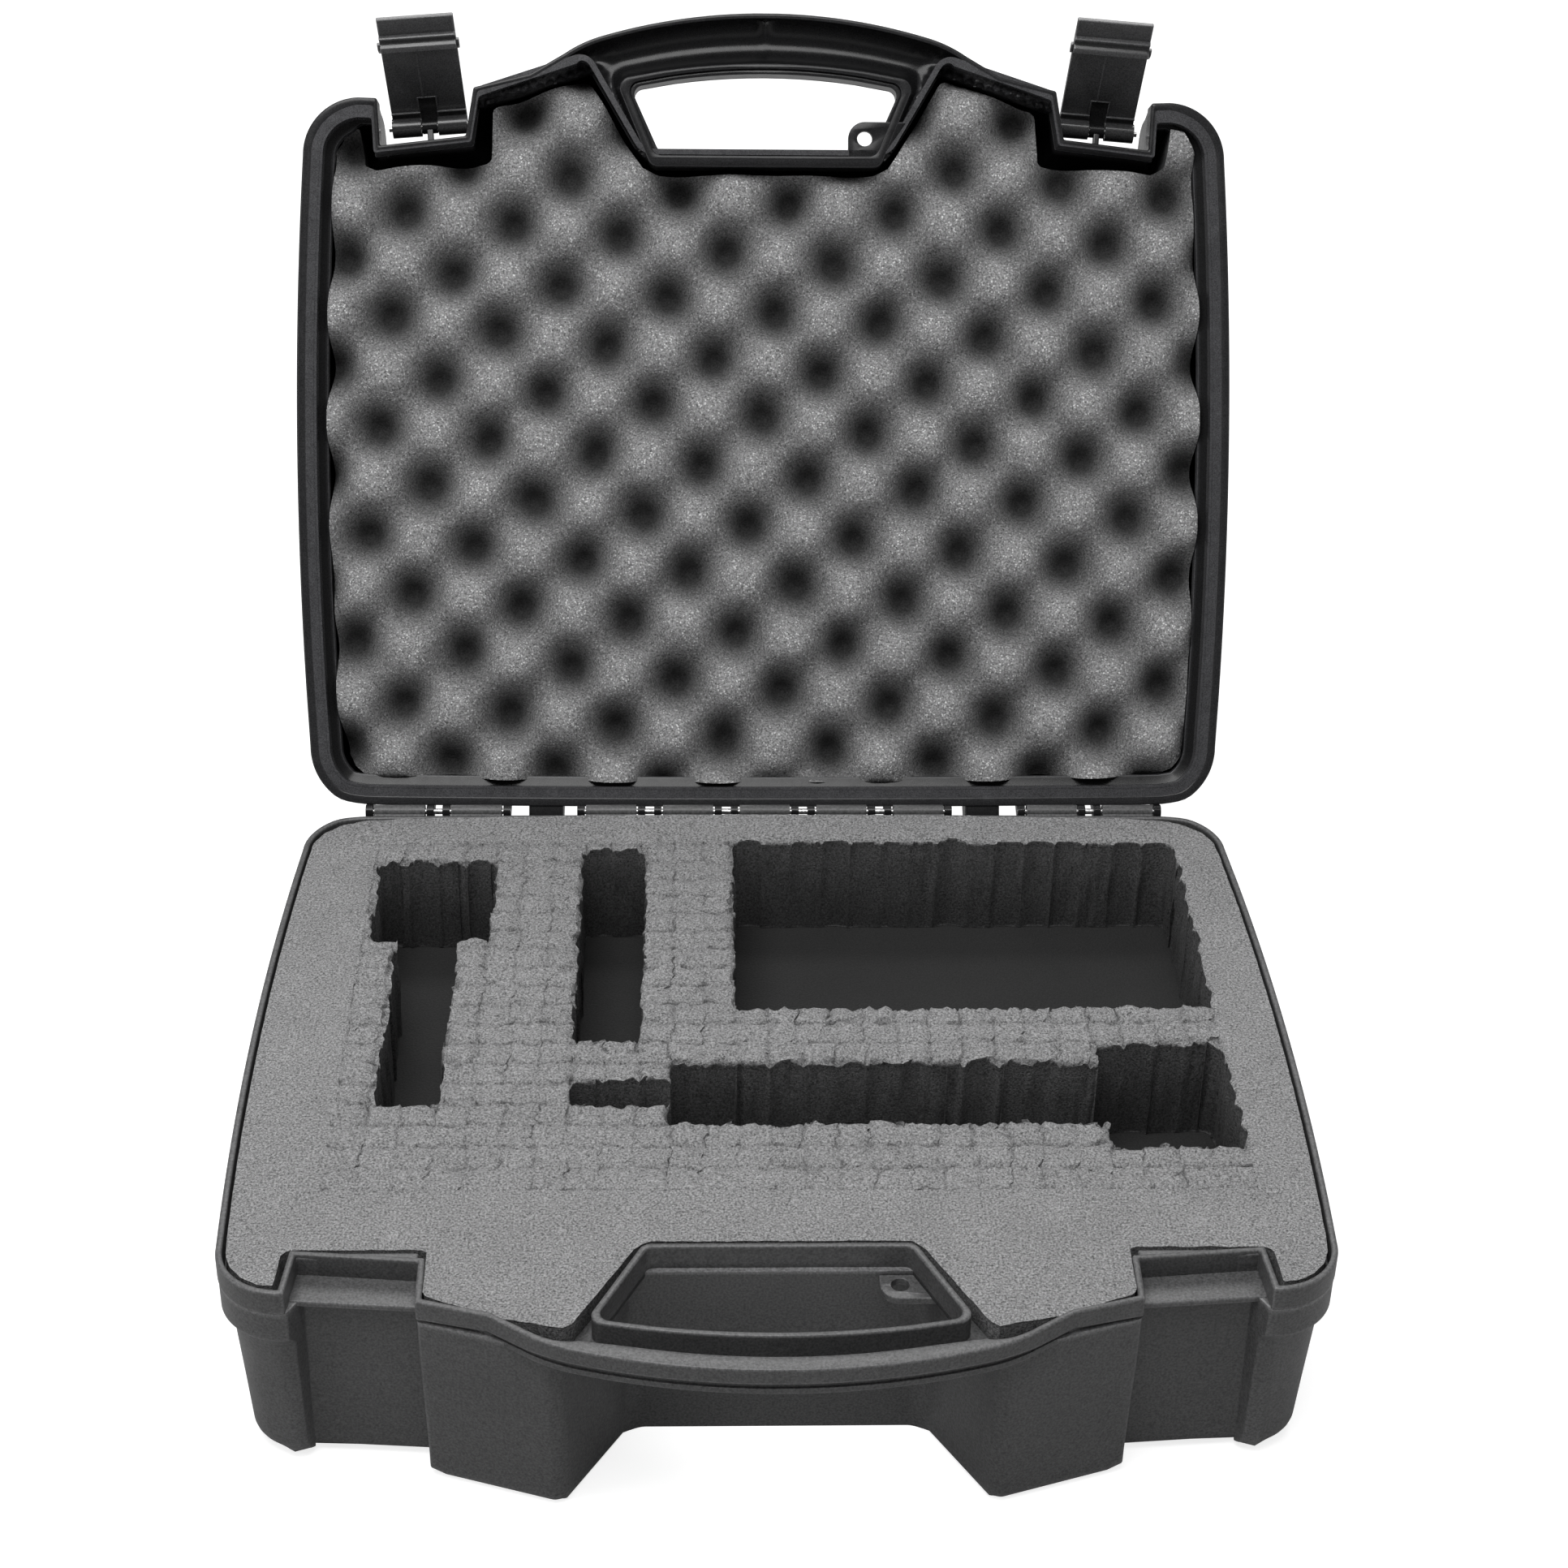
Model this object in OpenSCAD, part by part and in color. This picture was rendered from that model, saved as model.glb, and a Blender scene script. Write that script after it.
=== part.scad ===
// Moulded carrying case for microphones: a deep base and a shallow lid on a
// pinned rear hinge, two swinging front latches, a bow handle shared by both
// halves, and foam liners. It is drawn as it stands open, lid leaning back.

/* [Case] */
// Widest outside width, at the middle of the bowed sides
case_w = 408; // [396:1:420]
// Height of the base, from the floor to the parting plane
base_h = 87; // [82:1:96]
// Depth of the lid, from the parting plane to its outer face
lid_h = 41; // [39:1:48]
// Thickness of the moulded walls
wall = 2.8; // [2.4:0.1:3.2]
// Angle between the closed lid and the lid as it stands open
lid_open = 119.5; // [90:0.5:125]

/* [Rim] */
// Depth of the upright rim band on each half
band_h = 10; // [9:0.5:11]
// How far the rim band stands out from the walls behind it
band_out = 4; // [3:0.5:5]
// Thickness of the rim wall of the base
rim_wall = 2.4; // [2:0.1:2.8]

/* [Handle] */
// Reach of the handle bow in front of the hinge axis
bow_reach = 349.3; // [346:0.5:352]
// Width of the solid grip land behind the edge of the bow
grip_land = 7; // [5:0.5:8]
// Bore radius of the padlock holes
lock_hole_r = 3.3; // [2.8:0.1:3.6]

/* [Latches] */
// Distance of each latch's middle from the middle of the case
latch_x = 148; // [146:0.5:149]
// Width of the latch lever
latch_w = 33; // [31:0.5:34]
// Angle of the latches from their closed position, as they stand
latch_open = 40.5; // [10:0.5:80]
// Radius of the steel pins in the hinge and in the latches
pin_r = 1.25; // [1.2:0.05:1.5]

/* [Foam] */
// Cell size of the diced foam
cell = 12.7; // [12:0.1:13]
// Thickness of the diced foam layer
diced_h = 46; // [40:1:50]
// Spacing of the hollows in the egg-crate foam
crate_pitch = 33.5; // [30:0.5:36]
// Depth of the hollows in the egg-crate foam
crate_depth = 17; // [12:0.5:19]

/* [Hidden] */
$fn = 48;

seam = 0.15;          // half of the gap between the closed halves
run = 0.05;           // radial clearance of a bore on its pin
tiny = 0.01;
origin_t = 155;       // the frame's origin lies this far in front of the hinge

// Plan sizes. t is the distance in front of the hinge axis, and y is -t.
side_mid_t = 170;
side_bow_r = 2000;
front_corner_r = 25;
rear_corner_r = 27.5;
rear_corner_t = 28.5;
front_corner_t = 285;
post_front_t = 310;
rear_t = 2;
recess_t = 289;
recess_half = 52.5;
tip_x = 77;
tip_t = 331;
tip_r = 8;
block_x = 127.8;
block_t = 314.3;
bow_start_x = 102.2;
bow_start_t = 321.7;
bow_r = 254;
shoulder_r = 60;
bow_a = 16.4;
shoulder_a = 34;

// Heights in the base
tray_z = base_h - band_h;
tray_t = 2.5;
taper_z = base_h - 25;
draft = 3.4;
step = 0.4;
floor_t = 3;
base_post_r = 3;
lid_post_r = 14;

// Hinge
knuckle_r = 3;
knuckle_l = 22;
knuckle_pitch = 33.7;
lug_l = 3.1;
lug_off = 13.3;
knuckle_gap = 0.4;
mid_knuckles = [-2, -1, 0, 1, 2] * knuckle_pitch;
side_knuckles = [126.3, 159.8];
knuckles = concat(mid_knuckles, side_knuckles, -side_knuckles);

// Latches
pivot_t = 302.3;
pivot_w = 28;
latch_toe = 4.5;
barrel_r = 4.2;
latch_lug_w = 6.6;
plate_in = 4;
plate_t = 3.2;
latch_reach = 55.5;
lip_drop = 12;
hook_z = pivot_w + lip_drop + 0.4;

// Foam
grid_x = -115.8;
grid_t = 202.8;
diced_top = base_h - 0.6;
diced_z = diced_top - diced_h;
lid_foam_w = 3.2;
foam_gap = 0.8;

// ---------------------------------------------------------------- outlines

function side_x(t) = case_w / 2 - pow(t - side_mid_t, 2) / (2 * side_bow_r);

// Points on an arc, each with the tag of the wall it belongs to
function arc(c, r, a0, a1, n, tag) =
    [for (i = [0:n]) let (a = a0 + (a1 - a0) * i / n)
        [c[0] + r * cos(a), c[1] + r * sin(a), tag]];

function unit(v) = v / norm(v);
function left(v) = [-v[1], v[0]];
function plan(p) = [p[0], p[1]];

// A corner between two straight walls, rounded to radius r
function round_corner(a, b, c, r, n, tag) =
    let (u = unit(a - b), v = unit(c - b), half = acos(u * v) / 2,
         d = r / tan(half), m = unit(u + v), o = b + m * r / sin(half),
         p = b + u * d - o, q = b + v * d - o,
         a0 = atan2(p[1], p[0]), turn = atan2(q[1], q[0]) - a0,
         sweep = turn > 180 ? turn - 360 : turn < -180 ? turn + 360 : turn)
    arc(o, r, a0, a0 + sweep, n, tag);

// The right half mirrored to the left, as one closed outline
function whole(right) =
    concat(right, [for (i = [len(right) - 1:-1:0])
        let (tag = right[i > 0 ? i - 1 : 0][2]) [-right[i][0], right[i][1], tag]]);

// Each wall moved inwards by the distance that d gives for its tag
function inset(pts, d) =
    let (n = len(pts))
    [for (i = [0:n - 1])
        let (p = plan(pts[i]), q = pts[(i + n - 1) % n], s = plan(pts[(i + 1) % n]),
             n0 = left(unit(p - plan(q))), n1 = left(unit(s - p)),
             d0 = d[q[2]], d1 = d[pts[i][2]], k = n0[0] * n1[1] - n0[1] * n1[0],
             m = abs(k) > 0.35
                 ? [d0 * n1[1] - d1 * n0[1], d1 * n0[0] - d0 * n1[0]] / k
                 : unit(n0 + n1) * (d0 + d1) / 2)
        [p[0] + m[0], p[1] + m[1], pts[i][2]]];

function flat(pts) = [for (p = pts) plan(p)];
function same(d) = [d, d, d, d, d, d];

// Front corner, bowed side, rear corner and rear wall. Tag 0 is the side.
flank = concat(
    arc([side_x(front_corner_t) - front_corner_r, -front_corner_t],
        front_corner_r, -88, 0, 6, 0),
    [for (t = [250, 210, 170, 130, 90, 55]) [side_x(t), -t, 0]],
    arc([side_x(rear_corner_t) - rear_corner_r, -rear_corner_t],
        rear_corner_r, 0, 60, 4, 0),
    [[182.6, -5, 0], [175, -3.1, 0], [114, -2.5, 0], [57, -rear_t - 0.1, 0],
     [8, -rear_t, 0]]);

recess_corner = [recess_half, -recess_t];
tip_corner = [tip_x, -tip_t];
block_corner = [block_x, -block_t];

// Recessed front wall and the hollow block beside it. Tags 5, 4 and 3.
front_walls = concat(
    round_corner([0, -recess_t], recess_corner, tip_corner, 7, 2, 5),
    round_corner(recess_corner, tip_corner, block_corner, tip_r, 4, 4));

// Tub of the base below the rim. Tag 2 is the latch recess, tag 1 the post.
tub = whole(concat(
    [for (p = front_walls) p],
    [[block_x - 6, -block_t - 2, 3], [block_x, -block_t, 2],
     [128, -303, 2], [168.2, -300, 2], [173.2, -post_front_t + 0.4, 1]],
    flank));

// Bow of the handle, from the middle to where it leaves the block
bow_c = [0, bow_r - bow_reach];
shoulder_c = bow_c + (bow_r - shoulder_r) * [sin(bow_a), -cos(bow_a)];
function bow(o) = concat(
    arc(bow_c, bow_r + o, -88.2, bow_a - 90, 6, 3),
    arc(shoulder_c, shoulder_r + o, bow_a - 86, shoulder_a - 90, 3, 3));

rim_base = whole(concat(bow(0),
    [[bow_start_x, -bow_start_t, 3], [block_x, -block_t, 2],
     [128.2, -293.6, 2], [172, -289.6, 2], [173.8, -post_front_t + 0.3, 1]],
    flank));

rim_lid = whole(concat(bow(-2),
    [[bow_start_x, -bow_start_t + 1, 3], [126.8, -block_t - 0.3, 2],
     [130.2, -293.7, 2], [167.4, -289.3, 2], [168.6, -post_front_t + 0.3, 1]],
    flank));

// Body of the lid above its rim
lid_body = whole(concat(
    [for (p = front_walls) p],
    [[block_x - 6, -block_t - 2, 3], [126.8, -block_t - 0.3, 2],
     [130.2, -293.7, 2], [167.4, -289.3, 2], [168.6, -post_front_t + 0.3, 1]],
    flank));

// Window of the handle: straight back, flared sides, bowed front
function window(back_t, back_half, side_t, side_half, front_t, r) =
    let (s = front_t - side_t, fr = (side_half * side_half + s * s) / (2 * s),
         a = asin(side_half / fr) - 4,
         front = arc([0, fr - front_t], fr, -90 - a, a - 90, 8, 0),
         b = [back_half, -back_t], f = [side_half, -side_t])
    flat(concat(front,
        round_corner(plan(front[8]), f, b, r, 3, 0),
        round_corner(f, b, [0, -back_t], r, 3, 0),
        round_corner([0, -back_t], [-b[0], b[1]], [-f[0], f[1]], r, 3, 0),
        round_corner([-b[0], b[1]], [-f[0], f[1]], plan(front[0]), r, 3, 0)));

ring_base_out = window(284.1, 48.8, 324.6, 68.4, 332.6, 5);
ring_base_in = window(286.4, 47, 323, 64.8, 330.2, 4);
ring_lid_out = window(281, 50, 318.4, 65.4, 325.6, 5);
ring_lid_step = window(286, 48, 316.6, 60.8, 323.4, 4.5);
ring_lid_in = window(287.6, 46.4, 315.2, 58.8, 321.4, 4);

// ------------------------------------------------------------- solid tools

module prism(pts, z0, z1) {
    translate([0, 0, z0]) linear_extrude(z1 - z0) polygon(pts);
}

// A closed skin through outlines of equal length: levels = [[z, outline], ...]
module loft(levels) {
    n = len(levels[0][1]);
    k = len(levels);
    polyhedron(
        points = [for (l = levels) for (p = l[1]) [p[0], p[1], l[0]]],
        faces = concat(
            [[for (i = [0:n - 1]) i]],
            [for (j = [0:k - 2]) for (i = [0:n - 1])
                let (a = j * n + i, b = j * n + (i + 1) % n) each
                [[a, a + n, b], [b, a + n, b + n]]],
            [[for (i = [n - 1:-1:0]) (k - 1) * n + i]]));
}

// How far an edge rounded to radius r lies inside its wall at height h
function rounding(r, h) = h >= r ? 0 : r - sqrt(r * r - pow(r - h, 2));

// Insets of the walls of a half, h above its outer face and s below the rim
function walls(h, s, post, extra) =
    let (lean = draft * min(1, max(0, (s - 25) / 50)),
         band = band_out * min(1, max(0.08, (s - 11) / 14)),
         side = lean + band + rounding(10, h),
         front = 0.7 * lean + rounding(4.5, h) + step)
    [for (d = [side, front + rounding(post, h), 0.3 * lean + step, front, front,
               0.3 * lean + step]) d + extra];

module along_x(x0, x1, r, fine = 48) {
    translate([x0, 0, 0]) rotate([0, 90, 0]) cylinder(r = r, h = x1 - x0, $fn = fine);
}

// Slab with the outline pts in the plane of the sides, from x0 to x1
module side_slab(x0, x1, pts) {
    translate([x0, 0, 0]) rotate([90, 0, 90]) linear_extrude(x1 - x0) polygon(pts);
}

// Everything is drawn about the hinge axis and set in the frame here
module in_frame() { translate([0, origin_t, 0]) children(); }
module at_hinge() { translate([0, 0, base_h]) children(); }
module opened() { in_frame() at_hinge() rotate([-lid_open, 0, 0]) children(); }

// -------------------------------------------------------------------- base

base_levels = [0, 0.7, 2.2, 5, 10, taper_z, base_h - 11, tray_z];

module tub_solid() {
    loft([for (z = base_levels) [z, inset(tub, walls(z, base_h - z, base_post_r, 0))]]);
}

module tub_hollow() {
    loft([for (z = [floor_t, floor_t + 4, taper_z, tray_z + 1])
        [z, inset(tub, walls(z, base_h - z, base_post_r, wall + (z == floor_t ? 3 : 0)))]]);
}

// Opening inside the rim wall, the grip land and the window ring
module rim_opening() {
    difference() {
        polygon(flat(inset(rim_base, same(rim_wall))));
        grip_land_plan();
        difference() {
            polygon(ring_base_out);
            polygon(ring_base_in);
        }
    }
}

module grip_land_plan() {
    inner = arc(bow_c, bow_r - grip_land, -90 + bow_a, -90 - bow_a, 12, 0);
    outer = arc(bow_c, bow_r - 1, -90 - bow_a - 0.6, -90 + bow_a + 0.6, 12, 0);
    polygon(flat(concat(inner, outer)));
}

// Shelf across the latch recess, with the lip that the hook goes under
shelf = [[127, -292], [174.5, -288.3], [173.6, -303.4], [127, -307.1]];

// Corner plate inside the window, drilled for a padlock
lock_at = [43.2, -293.6];
module lock_plate(z0, z1) {
    translate([0, 0, z0]) linear_extrude(z1 - z0) union() {
        translate(lock_at) circle(r = 7.2, $fn = 24);
        polygon([[36, -293.6], [36, -285], [51, -285], [61, -300.8], [43.2, -300.8]]);
    }
}

module base_knuckle(x) {
    translate([x - knuckle_l / 2, 0, 0]) {
        along_x(0, knuckle_l, knuckle_r, 24);
        side_slab(0, knuckle_l, [[knuckle_r, 0], [knuckle_r, -3], [-4, -14], [-4, -1.2]]);
    }
}

module base_moulding() {
    difference() {
        union() {
            tub_solid();
            prism(flat(rim_base), tray_z - tray_t, base_h - seam);
            for (s = [-1, 1])
                prism([for (p = shelf) [s * p[0], p[1]]], tray_z - 2, tray_z + 0.5);
            at_hinge() for (x = knuckles) base_knuckle(x);
        }
        tub_hollow();
        translate([0, 0, tray_z]) linear_extrude(band_h + 1) rim_opening();
        prism(ring_base_in, 60, base_h + 1);
        // reliefs for the lid's lugs
        at_hinge() for (x = knuckles) for (s = [-1, 1])
            translate([x + s * lug_off, 0, 0])
                along_x(-lug_l / 2 - knuckle_gap, lug_l / 2 + knuckle_gap, knuckle_r + 0.5, 24);
        // pocket in the window ring above the padlock plate
        translate([34.5, -287, tray_z - 1]) cube([22, 2.2, band_h + 2]);
    }
    lock_plate(tray_z - 5, tray_z - 2);
}

module base_shell() color("dimgray") in_frame() difference() {
    resize([case_w, 0, 0]) base_moulding();
    at_hinge() along_x(-180, 180, pin_r + run);
    translate([lock_at[0], lock_at[1], 0]) cylinder(r = lock_hole_r, h = base_h);
}

// --------------------------------------------------------------------- lid

lid_levels = [seam, 9.5, 25, lid_h - 12, lid_h - 6, lid_h - 2.5, lid_h - 0.7, lid_h];
lid_rim_in = [8.6, 8.6, wall, 8.6, wall, wall];
lid_top = lid_h - wall;

module lid_solid() {
    loft([for (w = lid_levels) [w, inset(lid_body, walls(lid_h - w, w, lid_post_r, 0))]]);
}

// The hollow narrows towards the roof, where the outside is rounded
module lid_hollow() {
    loft([for (w = [seam - 1, 25, lid_top - 5, lid_top])
        [w, inset(lid_body, lid_rim_in + (w > lid_top - 1 ? [2.2, 1.5, 1.4, 2.2, 1.4, 1.4]
                                          : w > 25 ? [0.8, 0.6, 0.4, 0.8, 0.4, 0.4]
                                          : same(0)))]]);
}

// Channel under the handle, between the edge of the bow and the window ring
module lid_channel() {
    difference() {
        polygon(flat(inset(rim_lid, same(rim_wall))));
        translate([-200, -recess_t - 3]) square([400, 300]);
        for (s = [-1, 1])
            translate([s > 0 ? 96 : -210, -360]) square([114, 100]);
    }
}

// Groove that runs round the rim of the lid between its lip and its ridge
module lid_groove() {
    difference() {
        polygon(flat(inset(rim_lid, same(4))));
        polygon(flat(inset(rim_lid, same(7.1))));
        translate([-106, -360]) square([212, 90]);
        for (s = [-1, 1])
            translate([s > 0 ? 121 : -177, -330]) square([56, 50]);
        translate([-186, -8]) square([372, 20]);
    }
}

module lid_lug(x) {
    translate([x - lug_l / 2, 0, 0]) {
        along_x(0, lug_l, knuckle_r, 24);
        side_slab(0, lug_l, [[knuckle_r, 0], [knuckle_r, 4.5], [-4.3, 12], [-4.3, 1.2]]);
    }
}

// Stop heel behind the lid: it meets the rear wall of the base when open
heel_x = 96;
heel = [[-4, 1.4], [2.2, 0.9], [8, 4.3], [8, 10], [-1, 17], [-4, 17]];
module lid_heel(s) {
    difference() {
        side_slab(s * heel_x - 7.5, s * heel_x + 7.5, heel);
        side_slab(s * heel_x - 6, s * heel_x + 6,
                  [[-12, 3], [2.4, 2.8], [6, 5.2], [6, 9.4], [-1, 15], [-12, 15]]);
    }
}

module latch_lug(s) {
    at_pivot(s) {
        along_x(-latch_lug_w / 2, latch_lug_w / 2, 3.2, 24);
        side_slab(-1.3, 1.3, [[0, -2.4], [12.2, -3.8], [12.2, 4.6], [8.4, 3.6], [6.4, 1], [0, 1]]);
    }
}

module at_pivot(s) {
    translate([s * latch_x, -pivot_t, pivot_w]) rotate([0, 0, s * latch_toe]) children();
}

mark_x = [0, 59.4, 118.5, 165.6];
function ridge_t(x) = 6.8 + 5 * pow(x / 166, 2) + 0.3;

module lid_moulding() {
    difference() {
        union() {
            difference() {
                union() {
                    lid_solid();
                    prism(flat(rim_lid), seam, band_h + tray_t);
                }
                lid_hollow();
                translate([0, 0, seam - 1]) linear_extrude(band_h + 1) lid_channel();
                translate([0, 0, seam - 1]) linear_extrude(6) lid_groove();
            }
            intersection() {
                prism(ring_lid_out, seam, band_h + tray_t);
                prism(flat(rim_lid), seam, band_h + tray_t);
            }
            for (x = knuckles) for (s = [-1, 1]) lid_lug(x + s * lug_off);
            for (s = [-1, 1]) {
                lid_heel(s);
                latch_lug(s);
            }
        }
        prism(ring_lid_in, -5, band_h + tray_t + 5);
        prism(ring_lid_step, -5, 1.8);
        for (x = knuckles)
            translate([x, 0, 0]) along_x(-knuckle_l / 2 - knuckle_gap,
                                         knuckle_l / 2 + knuckle_gap, knuckle_r + 0.5, 24);
        for (s = [-1, 1]) {
            translate([s * heel_x - 6, -14, -1]) cube([12, 12, 16]);
            for (x = mark_x)
                translate([s * x, -ridge_t(x), -1]) cylinder(r = 1.8, h = 4, $fn = 14);
        }
    }
    lock_plate(seam + 0.25, 4);
}

module lid_shell() color("dimgray") opened() difference() {
    resize([case_w, 0, 0]) lid_moulding();
    for (s = [-1, 1]) at_pivot(s) along_x(-25, 25, pin_r);
    along_x(-180, 180, pin_r);
    translate([lock_at[0], lock_at[1], -1]) cylinder(r = lock_hole_r, h = 9);
}

// ----------------------------------------------------------------- latches

plate_profile = [
    [-plate_in, barrel_r - 1.4], [-plate_in, -hook_z], [-1, -hook_z],
    [-1.4, -hook_z - 2.2], [-plate_in + 0.6, -hook_z - 3.2],
    [-plate_in + 0.6, -hook_z - 5], [-plate_in + 1.6, -hook_z - 5.4],
    [-plate_in + 1.6, -hook_z - 6.4], [-plate_in, -hook_z - 7],
    [-plate_in - 0.4, -latch_reach], [-plate_in - 2.6, -latch_reach],
    [-plate_in - plate_t, -hook_z - 6], [-plate_in - plate_t, -1],
    [-plate_in - plate_t + 1.6, barrel_r - 1.4]];

module latch(s) {
    half = latch_w / 2;
    bare = latch_lug_w / 2 + 0.4;
    opened() at_pivot(s) rotate([-latch_open, 0, 0]) difference() {
        union() {
            side_slab(-half, half, plate_profile);
            along_x(-half, half, barrel_r);
            side_slab(-half - 1.2, half + 1.2,
                      [[-plate_in - 1.2, -hook_z + 3], [-plate_in + 0.6, -hook_z],
                       [-plate_in + 0.6, -hook_z - 3], [-plate_in - 1.2, -hook_z - 3]]);
        }
        along_x(-half - 2, half + 2, pin_r + run);
        // room for the lid's lug, and the shallow window below it
        along_x(-bare, bare, barrel_r + 0.3);
        translate([-bare, -plate_in - 1.6, -12.6]) cube([2 * bare, 3, 12.6]);
    }
}

module latch_left() color("dimgray") latch(-1);
module latch_right() color("dimgray") latch(1);

module latch_pin(s) color("silver")
    opened() at_pivot(s) along_x(-latch_w / 2 - 1.6, latch_w / 2 + 1.6, pin_r);
module latch_pin_left() latch_pin(-1);
module latch_pin_right() latch_pin(1);

// -------------------------------------------------------------- hinge pins

module hinge_pin(x0, x1) color("silver") in_frame() at_hinge() along_x(x0, x1, pin_r);
pin_over = lug_off + lug_l / 2;
module hinge_pin_left() hinge_pin(-side_knuckles[1] - pin_over, -side_knuckles[0] + pin_over);
module hinge_pin_centre() hinge_pin(mid_knuckles[0] - pin_over, mid_knuckles[4] + pin_over);
module hinge_pin_right() hinge_pin(side_knuckles[0] - pin_over, side_knuckles[1] + pin_over);

// -------------------------------------------------------------------- foam

// Full width of the base foam at height z
function foam_w(z) =
    2 * (side_x(side_mid_t) - walls(z, base_h - z, base_post_r, wall + foam_gap)[0]);

module foam_base_pad() color("gray") in_frame() resize([foam_w(diced_z), 0, 0])
    loft([for (z = [floor_t, floor_t + 4, diced_z])
        [z, inset(tub, walls(z, base_h - z, base_post_r,
                             wall + foam_gap + (z == floor_t ? 3 : 0)))]]);

// Edges of the cells, counted from the grid's own corner
function gx(c) = grid_x + cell * c;
function gt(r) = -(grid_t - cell * r);

module cut(x0, x1, t0, t1) {
    translate([x0, -t1, diced_z - 1]) cube([x1 - x0, t1 - t0, diced_h + 5]);
}

// Pockets left by the plucked cells
module pockets() {
    cut(gx(-4) + 3, gx(0), 39.5, gt(8) * -1 - 6);
    cut(gx(-3) + 2, gx(-1), 90, grid_t);
    cut(gx(3), gx(5), 31, 163);
    cut(gx(8) + 0.4, gx(23), 24, 142);
    cut(gx(19) + 2, gx(23), 167.5, 229);
    cut(gx(6), gx(19) + 3, 179, 214);
    cut(gx(3), gx(6) + 1, 189.5, 202.8);
}

// The foam fills the rim too, but not the window nor the space before it
module diced_brim() {
    difference() {
        intersection() {
            polygon(flat(inset(rim_base, same(rim_wall + foam_gap))));
            polygon(flat(inset(tub, [3.2, 3.2, -8, 3.2, 1, 1])));
        }
        for (s = [-1, 1]) translate([s * 187 - 17, -330]) square([34, 25.4]);
    }
}

module foam_base_diced() color("gray") in_frame()
    resize([2 * (side_x(side_mid_t) - rim_wall - foam_gap), 0, 0]) difference() {
        union() {
            loft([for (z = [diced_z, taper_z, tray_z + 0.4])
                [z, inset(tub, walls(z, base_h - z, base_post_r, wall + foam_gap))]]);
            translate([0, 0, tray_z]) linear_extrude(diced_top - tray_z) difference() {
                diced_brim();
                polygon(ring_base_out);
            }
        }
        pockets();
    }

// Egg-crate surface: hollows on a square lattice turned by crate_turn, one of
// them at crate_at
crate_turn = 38.2;
crate_at = [19.7, 145.8];
crate_step = 384 / 34;
crate_x = 192;
crate_t0 = 11.5;
crate_t1 = 324;
function crate_w(x, t) =
    let (p = x - crate_at[0], q = t - crate_at[1],
         u = (p * cos(crate_turn) + q * sin(crate_turn)) * 360 / crate_pitch,
         v = (q * cos(crate_turn) - p * sin(crate_turn)) * 360 / crate_pitch)
    lid_foam_w + crate_depth * (0.5 + 0.25 * (cos(u) + cos(v)));

module crate_block() {
    nx = round(2 * crate_x / crate_step);
    nt = ceil((crate_t1 - crate_t0) / crate_step);
    m = nx + 1;
    grid = [for (j = [0:nt]) for (i = [0:nx])
        let (x = -crate_x + i * crate_step, t = crate_t0 + j * crate_step)
        [x, -t, crate_w(x, t)]];
    edge = concat([for (i = [0:nx]) i], [for (j = [1:nt]) j * m + nx],
                  [for (i = [nx - 1:-1:0]) nt * m + i], [for (j = [nt - 1:-1:1]) j * m]);
    n = len(grid);
    e = len(edge);
    top = lid_top - foam_gap;
    polyhedron(
        points = concat(grid, [for (k = edge) [grid[k][0], grid[k][1], top]],
                        [[0, -(crate_t0 + crate_t1) / 2, top]]),
        faces = concat(
            [for (j = [0:nt - 1]) for (i = [0:nx - 1]) let (a = j * m + i) each
                [[a, a + m, a + 1], [a + 1, a + m, a + m + 1]]],
            [for (k = [0:e - 1]) let (q = (k + 1) % e) each
                [[edge[k], edge[q], n + k], [edge[q], n + q, n + k], [n + k, n + q, n + e]]]));
}

// Outline of the egg-crate foam, cut back round the handle and the latches
crate_half = concat(
    [[50, -276.5, 0], [57.5, -281, 0], [76.4, -317, 0], [81, -320.5, 0], [116, -310.5, 0],
     [120, -306, 0], [121, -283, 0], [172, -281, 0], [177, -284, 0], [178.6, -295.4, 0],
     [184.6, -293, 0]],
    [for (t = [284, 250, 210, 170, 130, 90, 55]) [side_x(t) - 13.6, -t, 0]],
    [[185.5, -33, 0], [177.5, -23, 0], [165.5, -18, 0], [110, -15.2, 0], [50, -14.4, 0]]);

module foam_lid() color("dimgray") opened()
    resize([2 * side_x(side_mid_t) - 27.2, 0, 0]) intersection() {
        crate_block();
        prism(flat(whole(crate_half)), -1, lid_h);
    }

base_shell();
lid_shell();
latch_left();
latch_right();
latch_pin_left();
latch_pin_right();
hinge_pin_left();
hinge_pin_centre();
hinge_pin_right();
foam_base_pad();
foam_base_diced();
foam_lid();
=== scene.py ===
"""Microphone carrying case, open on a pale floor.

Lengths are in millimetres in the functions that shape a piece, with x to the
right, y to the back from the hinge axis and z up from the parting plane. A
distance forwards from the hinge axis is called t, so y is -t. The place
functions turn them into metres in the frame of the CAD model.
"""

import bpy
import numpy as np
from mathutils import Matrix, Vector, geometry


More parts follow.
